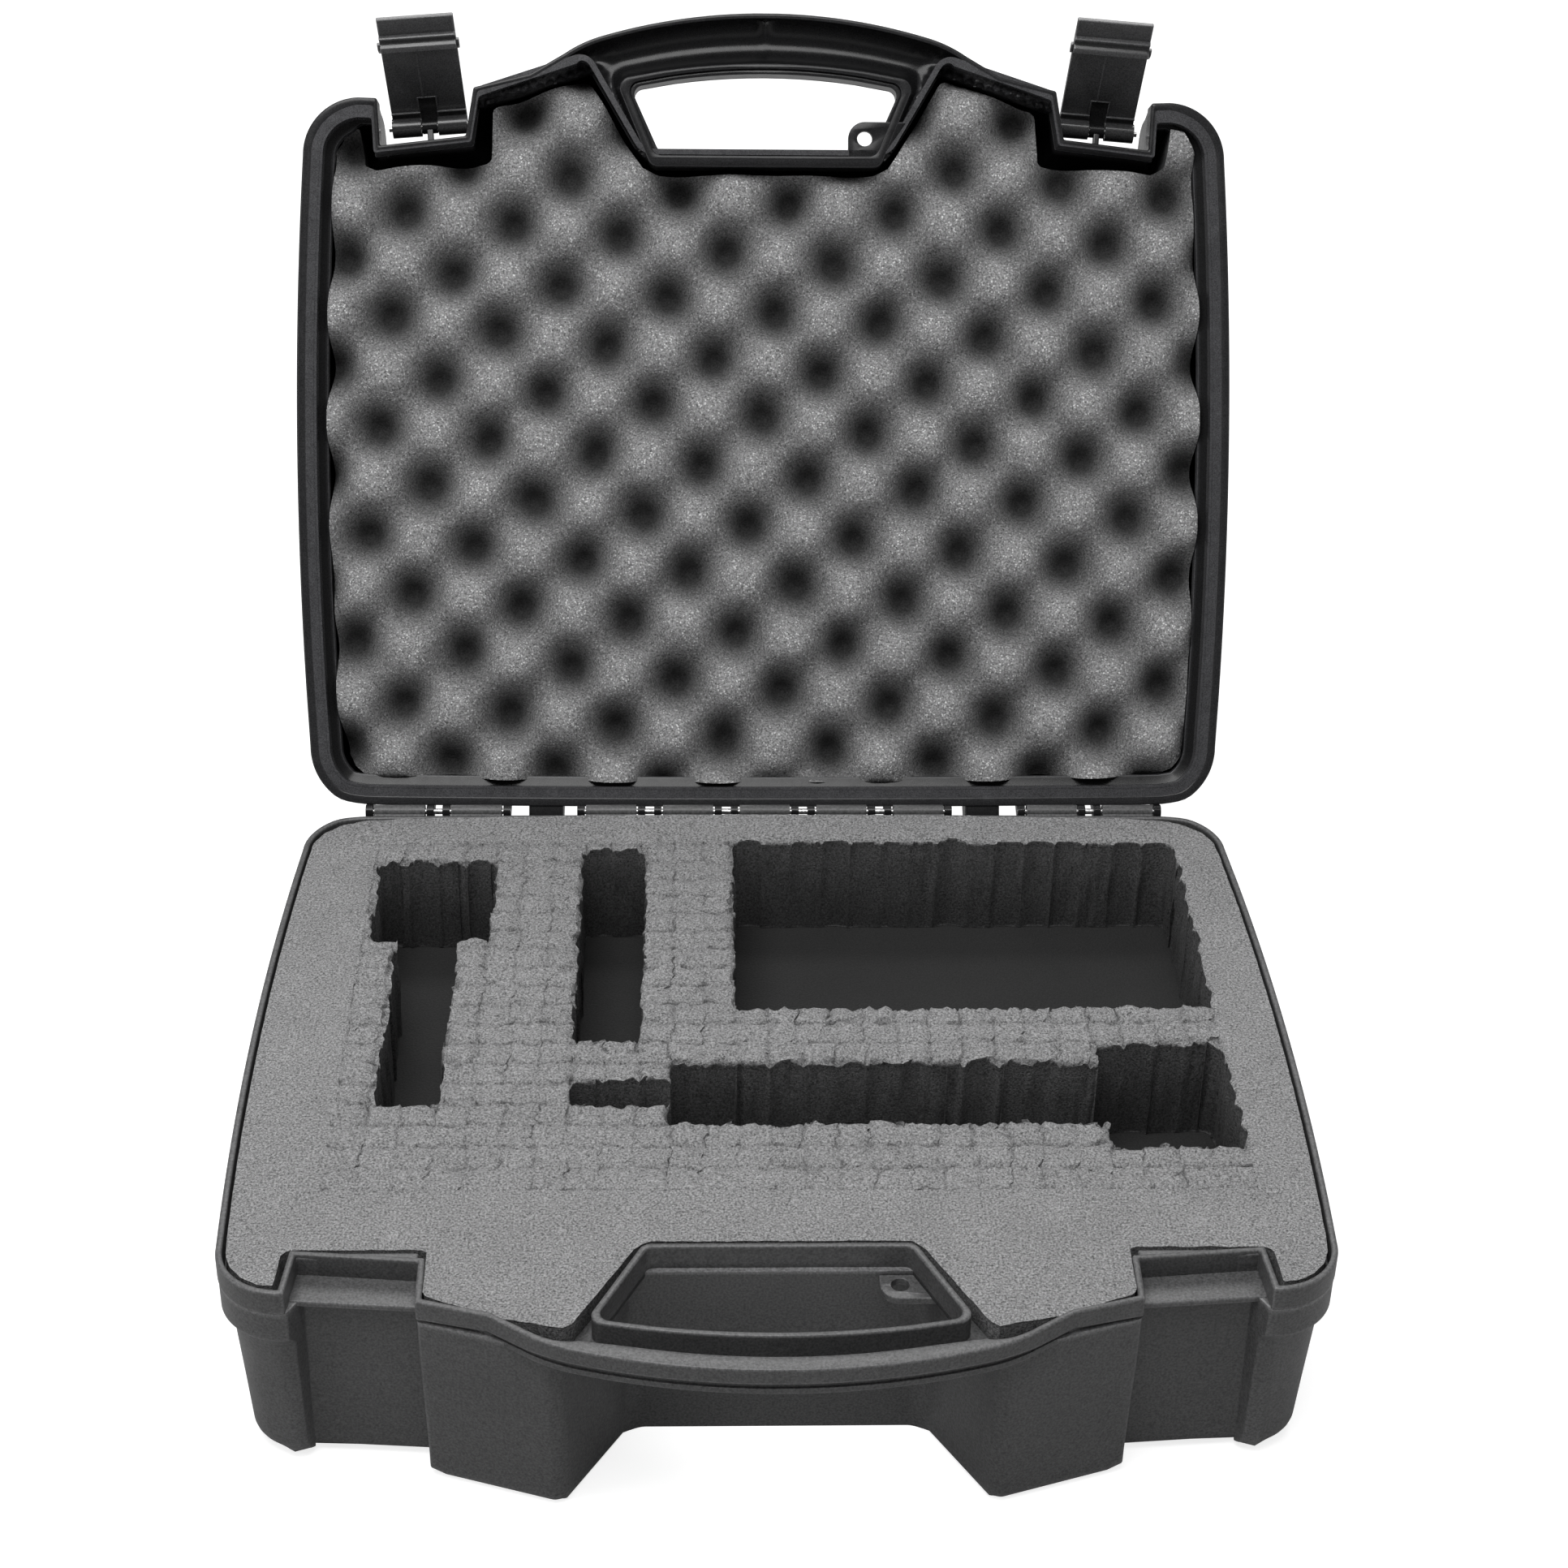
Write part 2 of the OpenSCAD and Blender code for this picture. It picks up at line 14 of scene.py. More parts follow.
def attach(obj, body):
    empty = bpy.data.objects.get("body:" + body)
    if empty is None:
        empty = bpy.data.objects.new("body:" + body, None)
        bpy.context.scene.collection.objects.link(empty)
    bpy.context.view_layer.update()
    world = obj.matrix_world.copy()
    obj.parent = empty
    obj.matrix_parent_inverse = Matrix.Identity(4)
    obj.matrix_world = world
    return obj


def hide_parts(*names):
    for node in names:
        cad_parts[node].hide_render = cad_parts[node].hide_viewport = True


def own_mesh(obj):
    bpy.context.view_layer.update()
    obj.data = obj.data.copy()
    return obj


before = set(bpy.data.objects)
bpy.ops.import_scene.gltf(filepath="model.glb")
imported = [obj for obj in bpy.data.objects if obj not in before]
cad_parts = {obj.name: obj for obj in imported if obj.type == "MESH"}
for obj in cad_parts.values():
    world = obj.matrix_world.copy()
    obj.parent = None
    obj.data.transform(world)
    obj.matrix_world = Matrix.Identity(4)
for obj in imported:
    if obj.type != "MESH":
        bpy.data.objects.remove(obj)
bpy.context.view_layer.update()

# Base from the floor to the parting plane, lid above it, and full width
BASE_H, LID_H, CASE_W = 87.0, 41.0, 408.0
# From the frame's origin back to the hinge axis
ORIGIN_T = 155.0
WALL = 2.8
# Half of the gap between the closed halves
SEAM = 0.15
# How far the lid and the latches stand open, and how far a latch toes out
OPEN, LATCH_OPEN, LATCH_TOE = np.radians(119.5), np.radians(40.5), np.radians(4.5)
# A latch's pivot in the closed lid: from the middle, before the hinge, above the parting plane
LATCH_X, PIVOT_T, PIVOT_W = 148.0, 302.3, 28.0
# The sides' widest point before the hinge, and their radius
SIDE_MID_T, SIDE_R = 170.0, 2000.0
# The handle's front edge: its radius, its foremost point, and the shoulder's radius and direction
HANDLE_R, HANDLE_T, SHOULDER_R, SHOULDER_A = 254, 349.3, 60, np.radians(16.4)


# ------------------------------------------------------------------ places

def place_base(v):
    """Millimetres about the hinge axis to metres in the frame: a shift."""
    return (v + [0, ORIGIN_T, BASE_H]) / 1000.0


def tilted(v, angle):
    """Points turned about the x axis, their back going down."""
    c, s = np.cos(angle), np.sin(angle)
    return np.c_[v[:, 0], v[:, 1] * c + v[:, 2] * s, -v[:, 1] * s + v[:, 2] * c]


def place_lid(v):
    """The closed lid turned about the hinge axis by its open angle, then the base's shift."""
    return place_base(tilted(v, OPEN))


def at_pivot(v, side):
    """Latch coordinates about the pivot, toed out and moved to their place in the closed lid."""
    c, s = np.cos(side * LATCH_TOE), np.sin(side * LATCH_TOE)
    x, y = v[:, 0] * c - v[:, 1] * s, v[:, 0] * s + v[:, 1] * c
    return np.c_[x + side * LATCH_X, y - PIVOT_T, v[:, 2] + PIVOT_W]


def place_latch(side):
    """The place function of one latch: swung, moved to its pivot and turned with the lid."""
    def place(v):
        return place_lid(at_pivot(tilted(v, LATCH_OPEN), side))
    return place


# ---------------------------------------------------------------- outlines

def side_x(t):
    """Half width of the bowed side at t before the hinge: the parabola that fits its circle."""
    return CASE_W / 2 - (t - SIDE_MID_T) ** 2 / (2 * SIDE_R)


def arc(centre, r, a0, a1, tag, step=4.0):
    """Points on a circle from angle a0 to a1, in degrees, each with the tag of its wall."""
    n = max(3, int(abs(a1 - a0) / step))
    a = np.radians(np.linspace(a0, a1, n + 1))
    return np.c_[centre[0] + r * np.cos(a), centre[1] + r * np.sin(a), np.full(n + 1, tag)]


def corner(a, b, c, r, tag, step=6.0):
    """The corner at b between walls to a and c, rounded to radius r by a tangent arc."""
    a, b, c = (np.array(p, float) for p in (a, b, c))
    u, v = (a - b) / np.linalg.norm(a - b), (c - b) / np.linalg.norm(c - b)
    half = np.arccos(u @ v) / 2
    o = b + (u + v) / np.linalg.norm(u + v) * r / np.sin(half)
    p, q = b + u * r / np.tan(half) - o, b + v * r / np.tan(half) - o
    a0 = np.degrees(np.arctan2(p[1], p[0]))
    sweep = (np.degrees(np.arctan2(q[1], q[0])) - a0 + 180) % 360 - 180
    return arc(o, r, a0, a0 + sweep, tag, step)


def rows(*points):
    """Points of an outline written out: x, y and the tag of the wall that starts there."""
    return np.array(points, float).reshape(-1, 3)


def whole(*right):
    """The right half's points, then the same mirrored, as one counter-clockwise loop."""
    right = np.vstack(right)
    tags = np.r_[right[:1, 2], right[:-1, 2]]
    return np.vstack([right, np.c_[-right[:, 0], right[:, 1], tags][::-1]])


def both_halves(half):
    """The right half's points without tags, then the same mirrored, as one loop."""
    return np.vstack([half, (half * [-1, 1])[::-1]])


# Tags of the walls: the side and rear, the front of a corner post, the latch recess, the
# handle's edge, the blocks beside the window and the wall behind the window
SIDE, POST, NOTCH, BOW, BLOCK, LAND = TAGS = range(6)

FLANK = np.vstack([
    arc((side_x(285) - 25, -285), 25, -88, 0, SIDE),
    [(side_x(t), -t, SIDE) for t in np.arange(277, 44, -9.0)],
    arc((side_x(28.5) - 27.5, -28.5), 27.5, 0, 52, SIDE),
    [(185.8, -5.3, SIDE), (182.9, -4.35, SIDE), (179.4, -3.7, SIDE), (175.4, -3.2, SIDE)],
    [(x, -2.0 - 1.0 * (x / 171) ** 2, SIDE) for x in np.arange(168, 0, -12.0)]])

FRONT_WALLS = np.vstack([
    corner((0, -289), (52.5, -289), (77, -331), 7, LAND),
    corner((52.5, -289), (77, -331), (127.8, -314.3), 8, BLOCK)])

TUB_NOTCH = rows((127.8, -314.3, NOTCH), (128, -303, NOTCH), (168.2, -300, NOTCH),
                 (173.2, -309.6, POST))
LID_NOTCH = rows((126.8, -314.6, NOTCH), (130.2, -293.7, NOTCH), (167.4, -289.3, NOTCH),
                 (168.6, -309.7, POST))
BLOCK_END = rows((121.8, -316.3, BOW))
HANDLE_O = np.array([0, HANDLE_R - HANDLE_T])
SHOULDER_O = HANDLE_O + (HANDLE_R - SHOULDER_R) * np.array([np.sin(SHOULDER_A),
                                                            -np.cos(SHOULDER_A)])


def bow(offset):
    """Front edge of the handle, moved outwards: the long arc, then the shoulder's arc."""
    return np.vstack([arc(HANDLE_O, HANDLE_R + offset, -88.9, -73.6, LAND, 1.1),
                      arc(SHOULDER_O, SHOULDER_R + offset, -72.4, -56, BOW, 2.0)])


TUB = whole(FRONT_WALLS, BLOCK_END, TUB_NOTCH, FLANK)
RIM_BASE = whole(bow(0), rows((102.2, -321.7, BLOCK), (127.8, -314.3, NOTCH),
                              (128.2, -293.6, NOTCH), (172, -289.6, NOTCH),
                              (173.8, -309.7, POST)), FLANK)
# The web under the rim follows the tub's own wall at the latch recess
TRAY = whole(bow(0), rows((102.2, -321.7, BLOCK)), TUB_NOTCH, FLANK)
RIM_LID = whole(bow(-2), rows((102.2, -320.7, BLOCK)), LID_NOTCH, FLANK)
LID_BODY = whole(FRONT_WALLS, BLOCK_END, LID_NOTCH, FLANK)


def window(back_t, back_half, side_t, side_half, front_t, r):
    """Handle window: straight back, flared sides and an arc in front, with corners of radius r.

    The arc stops 4 degrees short of the sides, to leave room for the corners.
    """
    s = front_t - side_t
    fr = (side_half ** 2 + s ** 2) / (2 * s)
    a = np.degrees(np.arcsin(side_half / fr)) - 4
    front = arc((0, fr - front_t), fr, -90 - a, a - 90, 0, 1.5)
    b, f = np.array((back_half, -back_t)), np.array((side_half, -side_t))
    m = np.array((-1, 1))
    return np.vstack([front, corner(front[-1, :2], f, b, r, 0), corner(f, b, (0, -back_t), r, 0),
                      corner((0, -back_t), b * m, f * m, r, 0),
                      corner(b * m, f * m, front[0, :2], r, 0)])[:, :2]


RING_BASE_OUT = window(284.1, 48.8, 324.6, 68.4, 332.6, 5)
RING_BASE_IN = window(286.4, 47.0, 323.0, 64.8, 330.2, 4)
RING_LID_OUT = window(281.0, 50.0, 318.4, 65.4, 325.6, 5)
RING_LID_STEP = window(286.0, 48.0, 316.6, 60.8, 323.4, 4.5)
RING_LID_IN = window(287.6, 46.4, 315.2, 58.8, 321.4, 4)


# ------------------------------------------------------------------ shapes

def unit(v):
    """Rows scaled to length one."""
    return v / np.maximum(np.linalg.norm(v, axis=1, keepdims=True), 1e-9)


def turns(p):
    """Unit edge vectors before and after each point of a loop."""
    a = p - np.roll(p, 1, 0)
    b = np.roll(p, -1, 0) - p
    return unit(a), unit(b)


def sharp_points(p):
    """Which points of a loop turn by more than 20 degrees."""
    a, b = turns(p)
    return np.abs(a[:, 0] * b[:, 1] - a[:, 1] * b[:, 0]) > np.sin(np.radians(20))


def inset(p, d, sharp):
    """Each edge moved inwards by its d.

    At a sharp corner the moved edges meet again. Elsewhere the point takes
    their mean, because they are nearly parallel.
    """
    a, b = turns(p)
    n0, n1 = np.c_[-a[:, 1], a[:, 0]], np.c_[-b[:, 1], b[:, 0]]
    d0, d1 = np.roll(d, 1), d
    k = n0[:, 0] * n1[:, 1] - n0[:, 1] * n1[:, 0]
    k = np.where(sharp, k, 1.0)
    meet = np.c_[d0 * n1[:, 1] - d1 * n0[:, 1], d1 * n0[:, 0] - d0 * n1[:, 0]] / k[:, None]
    mean = unit(n0 + n1) * ((d0 + d1) / 2)[:, None]
    return p + np.where(sharp[:, None], meet, mean)


def spread(d, sharp, times=14):
    """Values on the edges of a loop, evened out along it but not past its sharp corners."""
    for _ in range(times):
        before = np.where(sharp, d, np.roll(d, 1))
        after = np.where(np.roll(sharp, -1), d, np.roll(d, -1))
        d = (before + 2 * d + after) / 4
    return d


def shrunk(p, d):
    """A loop moved inwards by d all round."""
    return inset(p, np.full(len(p), d), sharp_points(p))


def shrunk_by_wall(outline, d):
    """A tagged outline moved inwards by the d of each of its walls."""
    p, sharp = outline[:, :2], sharp_points(outline[:, :2])
    return inset(p, spread(d[outline[:, 2].astype(int)], sharp), sharp)


def soften(p, r, sharp, steps=4):
    """Each sharp corner swapped for a short curve whose ends lie r along its two edges."""
    before, after = np.roll(p, 1, 0) - p, np.roll(p, -1, 0) - p
    lb = np.linalg.norm(before, axis=1, keepdims=True)
    la = np.linalg.norm(after, axis=1, keepdims=True)
    a = p + before * np.minimum(r / np.maximum(lb, 1e-6), 0.45)
    b = p + after * np.minimum(r / np.maximum(la, 1e-6), 0.45)
    s = np.linspace(0, 1, steps)[None, :, None]
    curve = a[:, None] * (1 - s) ** 2 + 2 * p[:, None] * s * (1 - s) + b[:, None] * s ** 2
    keep = np.repeat(sharp[:, None], steps, 1)
    keep[:, 0] = True
    curve[~sharp, 0] = p[~sharp]
    return curve[keep]


def grid(nu, nv, close_u=False, close_v=False):
    """Four-sided faces of a grid of nu rows and nv columns, closed either way where asked."""
    u = np.arange(nu if close_u else nu - 1)[:, None]
    v = np.arange(nv if close_v else nv - 1)[None, :]
    u1, v1 = (u + 1) % nu, (v + 1) % nv
    return np.stack([u * nv + v, u * nv + v1, u1 * nv + v1, u1 * nv + v], -1).reshape(-1, 4)


def cap(loops, up=True):
    """Triangles that fill the first loop and leave the others open."""
    flat = np.vstack(loops)
    tri = np.array(geometry.tessellate_polygon([[Vector((*q, 0)) for q in l] for l in loops]))
    a, b, c = flat[tri[:, 0]], flat[tri[:, 1]], flat[tri[:, 2]]
    turn = (b[:, 0] - a[:, 0]) * (c[:, 1] - a[:, 1]) - (b[:, 1] - a[:, 1]) * (c[:, 0] - a[:, 0])
    wrong = (turn < 0) == up
    tri[wrong] = tri[wrong][:, ::-1]
    return tri


def loft(outline, levels, closed=False, r=1.2):
    """A skin through one outline at several levels.

    Each level is a height and an inset, either of them one number or one for
    each wall. A closed skin joins its last level to its first, as a rim's does.
    """
    p, tag = outline[:, :2], outline[:, 2].astype(int)
    sharp = sharp_points(p)
    skin = []
    for z, d in levels:
        d = np.broadcast_to(np.array(d, float), len(TAGS))
        z = np.broadcast_to(np.array(z, float), len(TAGS))
        ring = soften(inset(p, spread(d[tag], sharp), sharp), r, sharp)
        zz = spread(z[tag], sharp)
        zz = soften(np.c_[(zz + np.roll(zz, 1)) / 2, zz * 0], 0.0, sharp)[:, 0]
        skin.append(np.c_[ring, zz])
    n = len(skin[0])
    v = np.vstack(skin)
    faces = [grid(len(skin), n, close_u=closed, close_v=True)]
    if not closed:
        faces += [cap([skin[0][:, :2]], up=False), cap([skin[-1][:, :2]]) + n * (len(skin) - 1)]
    return v, faces


def slab(loops, z0, z1, r_top=0.6, r_bottom=0.3, corner_r=0.8):
    """A flat plate of the first loop with the others as holes.

    Its edges are rounded by quarter circles, each followed by a guard ring, so that the shading and
    the painted highlight of an edge stay beside it.
    """
    a = np.radians(np.linspace(0, 90, 4))
    guard = min(0.5, (z1 - z0 - r_top - r_bottom) / 3)
    rings = ([(r_bottom * (1 - np.sin(q)), z0 + r_bottom * (1 - np.cos(q))) for q in a]
             + [(0.0, z0 + r_bottom + guard), (0.0, z1 - r_top - guard)]
             + [(r_top * (1 - np.cos(q)), z1 - r_top * (1 - np.sin(q))) for q in a])
    v, faces, bottoms, tops, start = [], [], [], [], 0
    for p in loops:
        p = np.asarray(p, float)
        sharp = sharp_points(p)
        skin = [np.c_[soften(inset(p, np.full(len(p), d), sharp), corner_r, sharp),
                      np.full(len(p) + 3 * sharp.sum(), z)] for d, z in rings]
        n = len(skin[0])
        v += skin
        faces.append(grid(len(skin), n, close_v=True) + start)
        bottoms.append((skin[0][:, :2], start))
        tops.append((skin[-1][:, :2], start + n * (len(skin) - 1)))
        start += n * len(skin)
    for ends, up in ((bottoms, False), (tops, True)):
        index = np.concatenate([s + np.arange(len(q)) for q, s in ends])
        faces.append(index[cap([q for q, _ in ends], up)])
    return np.vstack(v), faces


def hole(p):
    """A loop run the other way, as the edge of a hole in a slab."""
    return p[::-1]


def turned(profile, segments=40):
    """A profile of (x, radius) points turned about the x axis, closed where its radius is zero."""
    x, r = np.array(profile, float).T
    a = np.linspace(0, 2 * np.pi, segments, endpoint=False)
    v = np.stack([np.repeat(x[:, None], segments, 1), r[:, None] * np.cos(a),
                  r[:, None] * np.sin(a)], -1)
    return v.reshape(-1, 3), [grid(len(x), segments, close_v=True)[:, ::-1]]


def rod(x0, x1, r, bevel=0.4, segments=40):
    """A round bar along x with chamfered ends."""
    a = np.radians(np.linspace(0, 90, 4))
    end = np.c_[bevel * (1 - np.sin(a)), r - bevel + bevel * np.sin(a)]
    profile = np.vstack([[(x0, 0.001)], end + [x0, 0], end[::-1] * [-1, 1] + [x1, 0],
                         [(x1, 0.001)]])
    return turned(profile, segments)


def bar(x0, x1, section, bevel=0.5):
    """A (y, z) section carried along x, its long edges and ends rounded."""
    p = np.array(section, float)
    v, faces = slab([p], x0, x1, bevel, bevel, bevel)
    return np.c_[v[:, 2], v[:, 0], v[:, 1]], faces


def mirrored(part, signs=(-1, 1, 1)):
    """The same part on the other side: x changes sign and every face turns over."""
    return part[0] * signs, [f[:, ::-1] for f in part[1]]


def turned_over(part):
    """A sheet made with its top upwards, mirrored in the parting plane for the lid."""
    return mirrored(part, (1, 1, -1))


def both(part):
    """A part and its mirror image."""
    return [part, mirrored(part)]


def added(name, data):
    """A new object in the scene, at the origin."""
    obj = bpy.data.objects.new(name, data)
    bpy.context.scene.collection.objects.link(obj)
    return obj


def piece(name, parts, place, body, slot, material, *nodes, angle=38, values=None):
    """One object out of several closed parts, riding on a body, with named values at its points."""
    verts, faces, start = [], [], 0
    for v, fs in parts:
        verts.append(v)
        faces += [(f + start).tolist() for f in fs]
        start += len(v)
    mesh = bpy.data.meshes.new(name)
    mesh.from_pydata(place(np.vstack(verts)).tolist(), [], [q for f in faces for q in f])
    mesh.polygons.foreach_set("use_smooth", np.ones(len(mesh.polygons), bool))
    mesh.set_sharp_from_angle(angle=np.radians(angle))
    mesh.materials.append(material)
    for key, value in (values or {}).items():
        mesh.attributes.new(key, "FLOAT", "POINT").data.foreach_set(
            "value", np.ascontiguousarray(value, np.float32))
    obj = added(name, mesh)
    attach(obj, body)
    if nodes:
        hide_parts(*nodes)
    return obj


# --------------------------------------------------------------- materials

def group(name, inputs, outputs):
    """An empty node group: its inputs by name and value, its outputs by name and kind."""
    tree = bpy.data.node_groups.new(name, "ShaderNodeTree")
    for label, value in inputs.items():
        kind = "NodeSocketColor" if isinstance(value, tuple) else "NodeSocketFloat"
        socket = tree.interface.new_socket(label, in_out="INPUT", socket_type=kind)
        socket.default_value = value
    for label, kind in outputs.items():
        tree.interface.new_socket(label, in_out="OUTPUT", socket_type=kind)
    return tree, tree.nodes.new("NodeGroupInput"), tree.nodes.new("NodeGroupOutput")


def node(tree, kind, **values):
    """A shader node with its settings, or the values of its inputs, given by name."""
    n = tree.nodes.new(kind)
    for key, value in values.items():
        if hasattr(n, key):
            setattr(n, key, value)
        else:
            n.inputs[key].default_value = value
    return n


def texture(tree, kind, vector, scale=None, **values):
    """A texture node on the given vector, its scale from a socket where one is given."""
    n = node(tree, "ShaderNodeTex" + kind, **values)
    tree.links.new(vector, n.inputs["Vector"])
    if scale is not None:
        tree.links.new(scale, n.inputs["Scale"])
    return n


def math(tree, operation, *terms):
    """One arithmetic node. Its terms are sockets or numbers."""
    n = node(tree, "ShaderNodeMath", operation=operation)
    for socket, value in zip(n.inputs, terms):
        if isinstance(value, (int, float)):
            socket.default_value = value
        else:
            tree.links.new(value, socket)
    return n.outputs[0]


def tint(tree, gin, gout, amount):
    """The group's colour out is its colour in, times an amount."""
    scale = node(tree, "ShaderNodeVectorMath", operation="SCALE")
    tree.links.new(gin.outputs["Colour"], scale.inputs[0])
    tree.links.new(amount, scale.inputs["Scale"])
    tree.links.new(scale.outputs[0], gout.inputs["Colour"])


def moulded_skin():
    """Spark-eroded mould texture: fine pits, a slow mottling of the colour and faint scuffs.

    Convex edges, where the pointiness is past its value on a flat face, get a painted highlight,
    broken up by the scuff noise.
    """
    tree, gin, gout = group(
        "moulded_skin",
        {"Colour": (0.03, 0.03, 0.031, 1), "Grain": 1500.0, "Depth": 0.5, "Gloss": 0.4,
         "Edges": 1.0},
        {"Colour": "NodeSocketColor", "Roughness": "NodeSocketFloat", "Height": "NodeSocketFloat"})
    where = tree.nodes.new("ShaderNodeTexCoord").outputs["Object"]
    grain = texture(tree, "Noise", where, gin.outputs["Grain"], Detail=3.0,
                    Roughness=0.6).outputs["Fac"]
    mottle = texture(tree, "Noise", where, Scale=24.0, Detail=4.0).outputs["Fac"]
    scuff = texture(tree, "Noise", where, Scale=90.0, Detail=6.0, Roughness=0.7,
                    Distortion=1.5).outputs["Fac"]
    shade = math(tree, "MULTIPLY_ADD", mottle, 0.35, 0.82)
    fleck = math(tree, "MULTIPLY_ADD", grain, 2.4, -0.2)
    # Painted highlight on convex edges, from the pointiness
    bend = tree.nodes.new("ShaderNodeNewGeometry").outputs["Pointiness"]
    edge_highlight = math(tree, "MAXIMUM", math(tree, "SUBTRACT", bend, 0.512), 0.0)
    edge_highlight = math(tree, "MINIMUM", math(tree, "MULTIPLY", edge_highlight, 16.0), 1.0)
    edge_highlight = math(tree, "MULTIPLY", edge_highlight, gin.outputs["Edges"])
    edge_highlight = math(tree, "MULTIPLY", edge_highlight, math(tree, "ADD", scuff, 0.45))
    tint(tree, gin, gout, math(tree, "MULTIPLY", math(tree, "MULTIPLY", shade, fleck),
                               math(tree, "ADD", edge_highlight, 1.0)))
    rough = math(tree, "MULTIPLY_ADD", scuff, 0.22, gin.outputs["Gloss"])
    tree.links.new(rough, gout.inputs["Roughness"])
    tree.links.new(math(tree, "MULTIPLY", grain, gin.outputs["Depth"]), gout.inputs["Height"])
    return tree


def open_cells():
    """Open-cell foam: dark pores between bright struts, a soft cloudiness and a few painted glints.

    The points' own attribute called shade is painted shade: it darkens the hollows, the walls and
    the scored lines, where shade falls.
    """
    tree, gin, gout = group(
        "open_cells",
        {"Colour": (0.2, 0.2, 0.2, 1), "Pores": 900.0, "Contrast": 0.8, "Flecks": 0.0},
        {"Colour": "NodeSocketColor", "Height": "NodeSocketFloat"})
    where = tree.nodes.new("ShaderNodeTexCoord").outputs["Object"]
    pores = texture(tree, "Voronoi", where, gin.outputs["Pores"], feature="F1")
    cloud = texture(tree, "Noise", where, Scale=45.0, Detail=5.0).outputs["Fac"]
    grain = texture(tree, "Noise", where, Scale=1150.0, Detail=3.0, Roughness=0.75).outputs["Fac"]
    depth = math(tree, "MULTIPLY", math(tree, "SUBTRACT", grain, 0.5), gin.outputs["Contrast"])
    depth = math(tree, "MULTIPLY_ADD", depth, 2.4, 1.0)
    slow = math(tree, "MULTIPLY_ADD", cloud, 0.3, 0.85)
    # Painted glints: bright specks on a few random pores, kept out of the painted shade
    speck = texture(tree, "WhiteNoise", pores.outputs["Color"], noise_dimensions="3D")
    painted_glints = math(tree, "MULTIPLY", math(tree, "GREATER_THAN", speck.outputs["Value"], 0.94),
               gin.outputs["Flecks"])
    # Painted shade: the points' attribute called shade darkens the colour
    shade = node(tree, "ShaderNodeAttribute", attribute_name="shade")
    unshaded = math(tree, "SUBTRACT", 1.0, shade.outputs["Fac"])
    tone = math(tree, "ADD", math(tree, "MAXIMUM", math(tree, "MULTIPLY", depth, slow), 0.12),
                math(tree, "MULTIPLY", painted_glints, unshaded))
    tint(tree, gin, gout, math(tree, "MULTIPLY", tone, unshaded))
    pits = math(tree, "MULTIPLY", pores.outputs["Distance"], -0.6)
    tree.links.new(math(tree, "ADD", pits, grain), gout.inputs["Height"])
    return tree


SKIN, CELLS = moulded_skin(), open_cells()


def surface(name, pattern, bump, distance, metallic=0.0, roughness=None, specular=0.5, **values):
    """A material that takes its colour, roughness and bump from a node group with its values."""
    mat = bpy.data.materials.new(name)
    mat.use_nodes = True
    tree = mat.node_tree
    shader = tree.nodes["Principled BSDF"]
    g = tree.nodes.new("ShaderNodeGroup")
    g.node_tree = pattern
    for key, value in values.items():
        g.inputs[key].default_value = value
    tree.links.new(g.outputs["Colour"], shader.inputs["Base Color"])
    if roughness is None:
        tree.links.new(g.outputs["Roughness"], shader.inputs["Roughness"])
    else:
        shader.inputs["Roughness"].default_value = roughness
    shader.inputs["Metallic"].default_value = metallic
    shader.inputs["Specular IOR Level"].default_value = specular
    b = node(tree, "ShaderNodeBump", Strength=bump, Distance=distance)
    tree.links.new(g.outputs["Height"], b.inputs["Height"])
    tree.links.new(b.outputs["Normal"], shader.inputs["Normal"])
    return mat


# Edges is the strength of each plastic's painted highlight on convex edges
TUB_PLASTIC = surface("tub_plastic", SKIN, 0.35, 0.00012, Colour=(0.068, 0.068, 0.069, 1),
                      Grain=1100.0, Depth=0.9, Gloss=0.32, Edges=1.5)
LID_PLASTIC = surface("lid_plastic", SKIN, 0.2, 0.0001, specular=0.26,
                      Colour=(0.0085, 0.0085, 0.009, 1), Grain=1800.0, Depth=0.5, Gloss=0.12,
                      Edges=6.0)
LATCH_PLASTIC = surface("latch_plastic", SKIN, 0.15, 0.0001, Colour=(0.036, 0.036, 0.037, 1),
                        Grain=1800.0, Depth=0.4, Gloss=0.08, Edges=4.5)
PIN_STEEL = surface("pin_steel", SKIN, 0.1, 0.0001, metallic=1.0, Colour=(0.5, 0.5, 0.5, 1),
                    Grain=900.0, Depth=0.2, Gloss=0.22, Edges=0.0)
BASE_FOAM = surface("base_foam", CELLS, 0.6, 0.0006, roughness=0.95,
                    Colour=(0.225, 0.225, 0.227, 1), Pores=1500.0, Contrast=1.9)
# The bed's near-black colour is painted shade for the pockets' floors
PAD_FOAM = surface("pad_foam", CELLS, 0.6, 0.0006, roughness=0.95,
                   Colour=(0.02, 0.02, 0.02, 1), Pores=900.0, Contrast=0.8)
LID_FOAM = surface("lid_foam", CELLS, 0.7, 0.0007, roughness=0.9,
                   Colour=(0.29, 0.29, 0.292, 1), Pores=1700.0, Contrast=1.8, Flecks=1.5)


# -------------------------------------------------------------- base shell

def rounding(r, h):
    """How far an edge rounded to radius r lies inside its wall at height h."""
    return 0.0 if h >= r else r - np.sqrt(r * r - (r - h) ** 2)


# Where the sides step in: the step's depth under the rim, and its height. The tub's outer skin
# steps lower and more sharply than the other skins
SOFT_STEP, TUB_STEP = (11, 14), (21.8, 5.4)
# How far the sides step in, and how far a wall leans in below the step
STEP_IN, DRAFT = 4.0, 3.4


